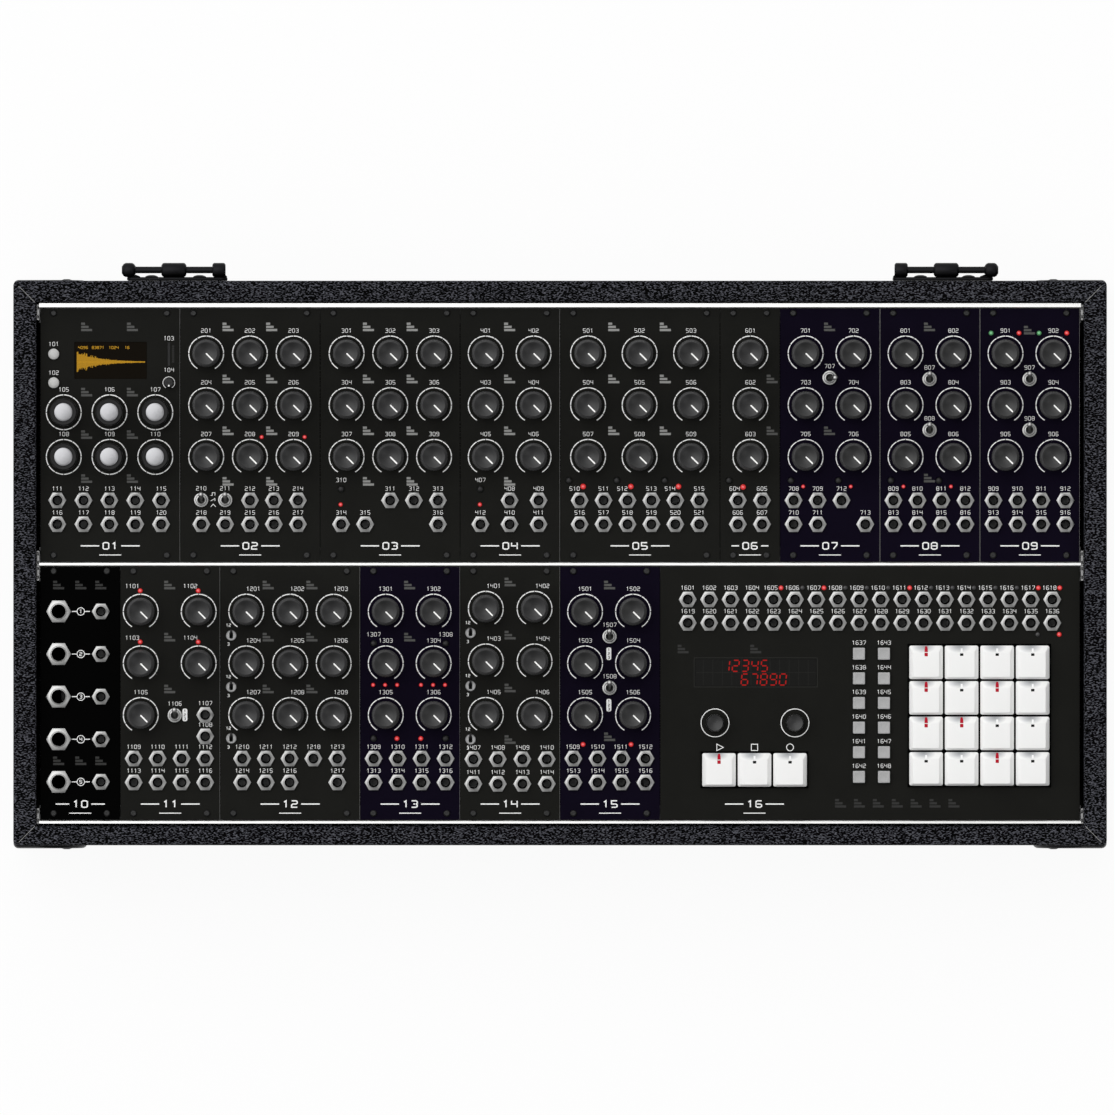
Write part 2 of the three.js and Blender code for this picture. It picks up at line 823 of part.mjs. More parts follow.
const backRow = [
  {
    name: "sampler",
    units: 14,
    material: warmPanel,
    controls: [
      { kind: "whiteButton", columnShares: [0.096], rowShares: [0.1793], names: ["sampler_button_upper"] },
      { kind: "whiteButton", columnShares: [0.096], rowShares: [0.2928] },
      { kind: "waveWindow", columnShares: [0.5025], rowShares: [0.2044] },
      { kind: "cardSlot", columnShares: [0.918], rowShares: [0.1794] },
      { kind: "trimKnob", columnShares: [0.919], rowShares: [0.2928] },
      {
        kind: "cappedEncoder",
        columnShares: [0.168],
        rowShares: [0.4098],
        names: ["sampler_encoder_upper_left"],
      },
      { kind: "cappedEncoder", columnShares: [0.495, 0.822], rowShares: [0.4098] },
      { kind: "cappedEncoder", columnShares: [0.168, 0.495, 0.822], rowShares: [0.5861] },
      { kind: "jack", columnShares: [0.1214, 0.309, 0.494, 0.679, 0.8636], rowShares: jackRowShares },
    ],
  },
  {
    name: "bass_voice",
    units: 14,
    material: warmPanel,
    controls: [
      { kind: "knob", columnShares: [0.1857, 0.498, 0.81], rowShares: knobRowShares },
      { kind: "toggle", columnShares: [0.15, 0.3214], rowShares: [0.7565], heading: up },
      { kind: "jack", columnShares: [0.4986, 0.6693, 0.8414], rowShares: jackRowShares },
      { kind: "jack", columnShares: [0.1514, 0.3214], rowShares: [jackRowShares[1]] },
    ],
  },
  {
    name: "bass_drum",
    units: 14,
    material: warmPanel,
    controls: [
      { kind: "knob", columnShares: [0.189, 0.501, 0.814], rowShares: knobRowShares },
      { kind: "darkButton", columnShares: [0.15], rowShares: [0.713] },
      { kind: "jack", columnShares: [0.5, 0.67, 0.8414], rowShares: [jackRowShares[0]] },
      { kind: "jack", columnShares: [0.15, 0.3214, 0.8414], rowShares: [jackRowShares[1]] },
    ],
  },
  {
    name: "snare",
    units: 10,
    material: warmPanel,
    controls: [
      { kind: "knob", columnShares: pairKnobShares, rowShares: knobRowShares },
      { kind: "darkButton", columnShares: [0.203], rowShares: [0.713] },
      { kind: "jack", columnShares: [0.495, 0.785], rowShares: jackRowShares },
      { kind: "jack", columnShares: [0.203], rowShares: [jackRowShares[1]] },
    ],
  },
  {
    name: "toms",
    units: 16,
    material: warmPanel,
    controls: [
      { kind: "knob", columnShares: [0.175, 0.497, 0.819], rowShares: knobRowShares },
      { kind: "darkButton", columnShares: [0.056, 0.355, 0.654], rowShares: [0.6794] },
      { kind: "jack", columnShares: spreadShares([0.1225, 0.87], 6), rowShares: jackRowShares },
    ],
  },
  {
    name: "clap",
    units: 6,
    material: warmPanel,
    controls: [
      {
        kind: "knob",
        columnShares: [0.507],
        rowShares: knobRowShares,
        names: ["clap_knob_upper", "clap_knob_middle", "clap_knob_lower"],
      },
      { kind: "darkButton", columnShares: [0.15], rowShares: [0.6794], names: ["clap_trigger_button"] },
      { kind: "jack", columnShares: [0.297, 0.7], rowShares: jackRowShares },
    ],
  },
  {
    name: "hats",
    units: 10,
    material: coolPanel,
    controls: [
      { kind: "knob", columnShares: pairKnobShares, rowShares: knobRowShares },
      {
        kind: "toggle",
        columnShares: [0.496],
        rowShares: [0.2732],
        heading: right,
        names: ["hats_toggle_lever"],
      },
      { kind: "darkButton", columnShares: [0.11, 0.585], rowShares: [0.6794] },
      { kind: "jack", columnShares: [0.136, 0.376], rowShares: jackRowShares },
      { kind: "jack", columnShares: [0.615], rowShares: [jackRowShares[0]] },
      { kind: "jack", columnShares: [0.853], rowShares: [jackRowShares[1]] },
    ],
  },
  {
    name: "cymbals",
    units: 10,
    material: coolPanel,
    controls: [
      { kind: "knob", columnShares: pairKnobShares, rowShares: knobRowShares },
      { kind: "toggle", columnShares: [0.496], rowShares: [0.2785, 0.4798], heading: up },
      { kind: "darkButton", columnShares: [0.11, 0.59], rowShares: [0.6794] },
      { kind: "jack", columnShares: fourJackShares, rowShares: jackRowShares },
    ],
  },
  {
    name: "modulator",
    units: 10,
    material: coolPanel,
    controls: [
      { kind: "knob", columnShares: pairKnobShares, rowShares: knobRowShares },
      { kind: "toggle", columnShares: [0.496], rowShares: [0.2785, 0.4798], heading: up },
      { kind: "jack", columnShares: fourJackShares, rowShares: jackRowShares },
    ],
  },
];

const frontRow = [
  {
    name: "link",
    units: 8,
    material: blackPanel,
    controls: [
      { kind: "socket", columnShares: [0.23], rowShares: spreadShares([0.1763, 0.8503], 5) },
      { kind: "jack", columnShares: [0.7575], rowShares: spreadShares([0.1763, 0.8503], 5) },
    ],
  },
  {
    name: "stereo_mixer",
    units: 10,
    material: warmPanel,
    controls: [
      { kind: "knob", columnShares: [0.205, 0.785], rowShares: [knobRowShares[0], knobRowShares[1]] },
      { kind: "knob", columnShares: [0.205], rowShares: [knobRowShares[2]] },
      { kind: "toggle", columnShares: [0.545], rowShares: [0.587], heading: up },
      { kind: "jack", columnShares: [0.85], rowShares: [0.5855, 0.6704] },
      { kind: "jack", columnShares: [0.135, 0.374, 0.614, 0.85], rowShares: jackRowShares },
    ],
  },
  {
    name: "mixer",
    units: 14,
    material: warmPanel,
    controls: [
      { kind: "knob", columnShares: [0.186, 0.5, 0.811], rowShares: knobRowShares },
      {
        kind: "miniToggle",
        columnShares: [0.0786],
        rowShares: [0.2711],
        heading: up,
        names: ["mixer_toggle_lever"],
      },
      { kind: "miniToggle", columnShares: [0.0786], rowShares: [0.4748, 0.6784], heading: up },
      { kind: "jack", columnShares: [0.157, 0.326, 0.496, 0.837], rowShares: jackRowShares },
      { kind: "jack", columnShares: [0.666], rowShares: [jackRowShares[0]] },
    ],
  },
  {
    name: "dual_effects",
    units: 10,
    material: coolPanel,
    controls: [
      { kind: "knob", columnShares: pairKnobShares, rowShares: knobRowShares },
      { kind: "darkButton", columnShares: [0.135, 0.855], rowShares: [0.3028, 0.6784] },
      { kind: "jack", columnShares: fourJackShares, rowShares: jackRowShares },
    ],
  },
  {
    name: "small_mixer",
    units: 10,
    material: warmPanel,
    controls: [
      { kind: "knob", columnShares: [0.257, 0.745], rowShares: [0.1656, 0.3739, 0.5855] },
      { kind: "miniToggle", columnShares: [0.104], rowShares: [0.2613, 0.4708, 0.6823], heading: up },
      { kind: "jack", columnShares: [0.133, 0.377, 0.623, 0.867], rowShares: [0.7605, 0.8582] },
    ],
  },
  {
    name: "dual_drive",
    units: 10,
    material: coolPanel,
    controls: [
      { kind: "knob", columnShares: [0.25, 0.73], rowShares: knobRowShares },
      { kind: "toggle", columnShares: [0.495], rowShares: [0.2751, 0.4787], heading: up },
      { kind: "jack", columnShares: [0.133, 0.374, 0.614, 0.854], rowShares: jackRowShares },
    ],
  },
  {
    name: "sequencer",
    units: 42,
    material: warmPanel,
    controls: [
      {
        kind: "jack",
        columnShares: spreadShares(sequencerJackEndShares, sequencerJackPlaces),
        rowShares: [0.1289, 0.2217],
      },
      { kind: "digitWindow", columnShares: [0.2279], rowShares: [0.4175] },
      {
        kind: "smallEncoder",
        columnShares: encoderPairShares,
        rowShares: [0.617],
        names: ["sequencer_encoder_left", "sequencer_encoder_right"],
      },
      {
        kind: "squareButton",
        columnShares: [0.4738],
        rowShares: [squareButtonEndShares[0]],
        names: ["sequencer_button_upper_left"],
      },
      {
        kind: "squareButton",
        columnShares: [0.4738],
        rowShares: spreadShares(squareButtonEndShares, squareButtonsInColumn).slice(1),
      },
      {
        kind: "squareButton",
        columnShares: [0.5333],
        rowShares: spreadShares(squareButtonEndShares, squareButtonsInColumn),
      },
    ],
    keyBlocks: [
      {
        centreShares: sequencerKeyShares.step,
        columns: stepKeyColumns,
        rows: stepKeyRows,
        nameOf: (i) => `step_key_${i + 1}`,
      },
      {
        centreShares: sequencerKeyShares.transport,
        columns: transportKeys,
        rows: 1,
        nameOf: (i) => ["play_key", "stop_key", "record_key"][i],
      },
    ],
  },
];

// Modules

function panelPoint(module, columnShare, rowShare) {
  return {
    x: (columnShare - 0.5) * module.units * unitWidth,
    y: (0.5 - rowShare) * panelHeight,
  };
}

// Every control of a module with its kind, place and, where it moves by itself, its name.
function controlsOf(module) {
  const list = [];
  for (const entry of module.controls) {
    const names = [...(entry.names ?? [])];
    for (const rowShare of entry.rowShares) {
      for (const columnShare of entry.columnShares) {
        const at = panelPoint(module, columnShare, rowShare);
        list.push({ ...entry, at, name: names.shift() });
      }
    }
  }
  for (const { centreShares, columns, rows, nameOf } of module.keyBlocks ?? []) {
    const centre = panelPoint(module, ...centreShares);
    list.push({ kind: "keyWell", at: centre, columns, rows });
    for (let i = 0; i < columns * rows; i += 1) {
      const column = i % columns;
      const row = Math.floor(i / columns);
      const at = {
        x: centre.x + (column - (columns - 1) / 2) * keyPitch,
        y: centre.y - (row - (rows - 1) / 2) * keyPitch,
      };
      list.push({ kind: "key", at, name: nameOf(i) });
    }
  }
  return list;
}

// Behind the panel: the bodies of the controls, the board that they stand on, and the power header.
function moduleBack(module, width) {
  const middle = { x: 0, y: 0 };
  const boardMiddle = boardTop - boardThickness / 2;
  const bodyWidth = width - 2 * bodyInset;
  const bodies = plinth(middle, bodyWidth, 2 * (boardHalfHeight - bodyInset), [boardMiddle, below]);
  const boardWidth = width - 2 * boardInset;
  const board = plinth(middle, boardWidth, 2 * boardHalfHeight, [boardTop - boardThickness, boardTop]);
  const headerBottom = boardTop - boardThickness - headerHeight;
  const header = plinth(middle, headerLength, headerWidth, [headerBottom, boardMiddle]);
  const housings = controlsOf(module)
    .filter(({ kind }) => kind === "socket")
    .map(({ at }) => plinth(at, largeSocketWidth, largeSocketLength, [-largeSocketDepth, below]));
  return join([bodies, board, header, ...housings]);
}

function moduleSolid(module, controls) {
  const width = module.units * unitWidth - panelGap;
  const panel = plinth({ x: 0, y: 0 }, width, panelHeight, [-panelThickness, 0]);
  const added = [panel, moduleBack(module, width)];
  const cutters = [];
  for (const control of controls) {
    const kind = kinds[control.kind];
    const share = control.name ? kind.seat : kind;
    if (share.add) added.push(share.add(control.at, control));
    if (share.cut) cutters.push(share.cut(control.at, control));
  }
  return carve(join(added), cutters);
}

function moduleGroup(module, unitsBefore) {
  const group = new THREE.Group();
  group.position.x = (unitsBefore + module.units / 2) * unitWidth - rowWidth / 2;
  const controls = controlsOf(module);
  group.add(piece(`${module.name}_module`, moduleSolid(module, controls), module.material));
  for (const control of controls.filter(({ name }) => name)) {
    const { make, material } = kinds[control.kind];
    const live = piece(control.name, make(control), material);
    live.position.set(control.at.x, control.at.y, 0);
    group.add(live);
  }
  return group;
}

function rowGroup(modules, side) {
  const group = new THREE.Group();
  group.position.set(0, (side * rowPitch) / 2, panelTop);
  let unitsBefore = 0;
  for (const module of modules) {
    group.add(moduleGroup(module, unitsBefore));
    unitsBefore += module.units;
  }
  return group;
}

function feet() {
  const group = new THREE.Group();
  for (const [sideX, nameX] of [
    [-1, "left"],
    [1, "right"],
  ]) {
    for (const [sideY, nameY] of [
      [-1, "front"],
      [1, "rear"],
    ]) {
      const mesh = piece(`foot_${nameY}_${nameX}`, foot(), rubber);
      mesh.position.x = sideX * (caseWidth / 2 - footInset);
      mesh.position.y = sideY * (caseDepth / 2 - footInset);
      group.add(mesh);
    }
  }
  return group;
}

const synthesizer = new THREE.Group();
synthesizer.position.y = caseMiddleY;
synthesizer.add(piece("case_shell", caseShell(), coveredWood));
synthesizer.add(piece("power_inlet", powerInlet(), blackPlastic));
synthesizer.add(piece("bus_board", busBoard(), circuitBoard));
synthesizer.add(piece("rear_rail", edgeRail(1), railMetal));
synthesizer.add(piece("centre_rail", centreRail(), railMetal));
synthesizer.add(piece("front_rail", edgeRail(-1), railMetal));
synthesizer.add(piece("hinge_leaf_left", hingeLeaf(-1), blackSteel));
synthesizer.add(piece("hinge_leaf_right", hingeLeaf(1), blackSteel));
synthesizer.add(piece("hinge_pin_left", hingePin(-1), blackSteel));
synthesizer.add(piece("hinge_pin_right", hingePin(1), blackSteel));
synthesizer.add(feet());
synthesizer.add(rowGroup(backRow, 1));
synthesizer.add(rowGroup(frontRow, -1));

export default synthesizer;
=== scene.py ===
"""The looks of a modular synthesizer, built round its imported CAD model.

Lengths are millimetres until a mesh is made. +X is to the player's right, +Y towards the hinges, +Z up.
"""

import json
import math
import random
from collections import defaultdict

import bpy
from mathutils import Matrix, Vector
from mathutils.geometry import delaunay_2d_cdt

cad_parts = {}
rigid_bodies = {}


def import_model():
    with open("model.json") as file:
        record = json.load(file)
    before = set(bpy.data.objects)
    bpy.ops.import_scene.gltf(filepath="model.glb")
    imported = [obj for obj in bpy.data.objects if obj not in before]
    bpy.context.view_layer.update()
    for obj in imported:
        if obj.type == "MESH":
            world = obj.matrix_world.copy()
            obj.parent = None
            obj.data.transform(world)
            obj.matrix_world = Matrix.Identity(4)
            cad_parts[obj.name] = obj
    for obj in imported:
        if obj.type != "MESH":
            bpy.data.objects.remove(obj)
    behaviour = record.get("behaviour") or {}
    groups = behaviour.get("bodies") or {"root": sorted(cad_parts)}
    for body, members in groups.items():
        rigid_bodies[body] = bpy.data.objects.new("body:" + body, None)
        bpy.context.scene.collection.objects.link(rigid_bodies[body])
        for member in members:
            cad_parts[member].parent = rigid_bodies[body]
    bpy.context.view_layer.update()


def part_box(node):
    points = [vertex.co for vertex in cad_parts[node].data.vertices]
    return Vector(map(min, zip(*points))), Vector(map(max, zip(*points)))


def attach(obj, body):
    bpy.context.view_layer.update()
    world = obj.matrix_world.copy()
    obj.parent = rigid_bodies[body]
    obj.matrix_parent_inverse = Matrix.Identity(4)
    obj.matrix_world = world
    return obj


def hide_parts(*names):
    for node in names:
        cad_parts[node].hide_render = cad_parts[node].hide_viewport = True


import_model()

# Sizes that the model gives its pieces
MM = 0.001
UNIT_WIDTH = 5.08
PANEL_HEIGHT = 128.5
PANEL_THICKNESS = 2.0
RIM_ABOVE_PANELS = 6.0
WALL = 11.6
RAIL_REBATE = 1.0
FRONT_RECESS = 1.2
FLOOR_THICKNESS = 6.0
CASE_HEIGHT = 82.0
CASE_CORNER = 2.5
FOOT_HEIGHT = 8.0
SEAT_GAP = 0.3

# Corner guards
GUARD_LENGTH = 37.0
GUARD_HEIGHT = 34.0
GUARD_THICKNESS = 0.85
GUARD_SCREW_RADIUS = 3.6
GUARD_SCREW_RISE = 1.4
GUARD_SCREW_INSET = 27.0
GUARD_SCREW_HEIGHT = 15.0

# Rails, measured from the outer side of the lip and the panels' upper face
LIP_WIDTH = 1.8
LIP_RISE = 0.5
RAIL_DEPTH = 9.45
RAIL_HEIGHT = 9.0
RAIL_SLOT = (4.85, 8.05)
RAIL_SLOT_DEPTH = 4.5
LIP_EDGE = 0.35
REAR_LIP_REACH = 0.85
RAIL_BRACKET = 1.2
BRACKET_REACH = 7.8
BRACKET_DROP = 0.6
BRACKET_SLOT = (0.7, 1.7)

# Hinges
HINGE_PLATE = (54.0, 30.0, 1.6)
PLATE_START = 3.2
HINGE_PIN_RADIUS = 1.7
HINGE_BORE = 1.9
HINGE_BARREL = 3.6
HINGE_STANDOFF = 5.5
HINGE_BELOW_RIM = 4.2
KNUCKLES = (((0.6, 7.7), (3.4, 9.8), 1.9), ((20.7, 33.4), (21.8, 32.3), 1.2), ((46.6, 53.3), (47.3, 54.0), 0.9))
HINGE_SCREW_COLUMNS = (15.6, 40.0)
HINGE_SCREW_ROWS = (8.0, 23.0)

# Dial knobs and encoders
KNOB_RADIUS = 7.1
KNOB_TOP_RADIUS = 5.9
KNOB_HEIGHT = 14.5
KNOB_LIFT = 0.6
KNOB_DISH = 1.5
SHAFT_RADIUS = 3.0
SHAFT_DEPTH = 8.0
SHAFT_HOLE = 3.4
POINTER_LENGTH = 5.1
POINTER_WIDTH = 0.72
POINTER_ANGLE = math.radians(-45)
ENCODER_CAP_RADIUS = 4.6
ENCODER_TOP = 14.8
SMALL_ENCODER_RADIUS = 4.6
SMALL_ENCODER_HEIGHT = 11.0
TRIM_RADIUS = 2.4
TRIM_HEIGHT = 4.0

# Sockets
SMALL_NUT = {"corner": 4.55, "height": 1.9, "hole": 2.55, "plug": 1.8, "panel_hole": 3.0, "depth": 9.5}
LARGE_NUT = {"corner": 6.35, "height": 2.4, "hole": 3.55, "plug": 3.25, "panel_hole": 4.7, "depth": 24.0}

# Switches
TOGGLE_NUT_RADIUS = 3.7
TOGGLE_NUT_HEIGHT = 1.8
BUSHING_RADIUS = 2.75
BUSHING_HEIGHT = 4.2
BUSHING_MOUTH = 1.95
BUSHING_THROAT = 1.4
THROAT_HEIGHT = 2.0
TOGGLE_PIVOT = 1.0
LEVER_LENGTH = 12.0
LEVER_TIP_RADIUS = 1.3
LEVER_NECK_RADIUS = 0.8
LEVER_BALL_RADIUS = 1.3
TOGGLE_TILT = math.radians(15)
MINI_NUT_RADIUS = 2.6
MINI_NUT_HEIGHT = 1.3
MINI_SLOT = (1.9, 3.3)
MINI_PIVOT_DEPTH = 1.0
MINI_LEVER = (1.2, 1.0, 8.0)
MINI_LEVER_FOOT = 1.6
MINI_TILT = math.radians(18)

# Buttons and keys
DARK_BUTTON = (1.4, 1.6)
WHITE_BUTTON = (2.75, 2.2)
SQUARE_BUTTON = (6.1, 2.4)
BUTTON_REACH = 5.0
BUTTON_GAP = 0.3
KEY_PITCH = 18.05
KEY_SIDE = 17.05
KEY_SINK = 2.2
KEY_SHOULDER = 3.4
KEY_RISE = 5.6
KEY_SIDE_BEVEL = 2.0
KEY_BACK_BEVEL = 3.3
KEY_FRONT_BEVEL = 1.1
KEY_CORNER = 1.0
KEY_WELL_DEPTH = 5.2
KEY_WELL_MARGIN = 0.9
KEY_STEM = 4.0
KEY_STEM_END = 7.2
STEM_HOLE = 4.7

# Windows
WAVE_WINDOW = (36.9, 18.9)
DIGIT_WINDOW = (62.0, 14.1)
CARD_SLOT = (1.5, 12.2)
GLASS_DEPTH = 0.35

# Printing, whose lower side is just inside the panel
PRINT = (-0.03, 0.05)
PRINT_OVER = (0.02, 0.08)
ARC_RADIUS = 8.85
ARC_WIDTH = 0.52
ARC_GAP = math.radians(2.3)
ARC_STEP = math.radians(30)
LABEL_HEIGHT = 2.15
SMALL_LABEL_HEIGHT = 1.6
TITLE_HEIGHT = 3.9
PANEL_EDGE = 0.1
LABEL_OFFSETS = {"knob": 11.6, "capped_encoder": 11.6, "jack": 5.95, "toggle": 5.9, "dark_button": 4.6,
                 "square_button": 5.6, "white_button": 5.1, "card_slot": 8.0, "trim_knob": 6.5}

# Places on a panel, as shares of its width from the left and of its height from the top
KNOB_ROW_SHARES = (0.177, 0.3816, 0.586)
JACK_ROW_SHARES = (0.758, 0.8525)
FOUR_JACK_SHARES = (0.135, 0.375, 0.6145, 0.8545)
PAIR_KNOB_SHARES = (0.256, 0.735)
MARK_ROW_SHARES = (0.072, 0.278, 0.483, 0.683)
SCREW_ROW_SHARES = (0.0175, 0.975)
TITLE_ROW_SHARE = 0.938
RULE_ROW_SHARE = 0.974


def spread(first, last, count):
    """Evenly spaced values from first to last."""
    return tuple(first + (last - first) * i / (count - 1) for i in range(count))


def control(kind, columns, rows, **more):
    """One kind of control at every crossing of its column and row shares."""
    return {"kind": kind, "columns": columns, "rows": rows, **more}


SEQUENCER_JACK_SHARES = spread(0.066, 0.9342, 18)
LINK_ROW_SHARES = spread(0.1763, 0.8503, 5)
SQUARE_ROW_SHARES = spread(0.3435, 0.8306, 6)
STEP_KEY_SHARES = (0.7605, 0.5883)
TRANSPORT_KEY_SHARES = (0.225, 0.8029)
LAMP_OVER_JACK_SHARES = tuple(share + 0.0179 for share in SEQUENCER_JACK_SHARES[4:])
LIT_TRACKS = (0, 2, 6, 12, 13)
LIT_STEPS = (1, 5, 7, 9, 10, 15)
TRANSPORT_KEYS = ("play_key", "stop_key", "record_key")

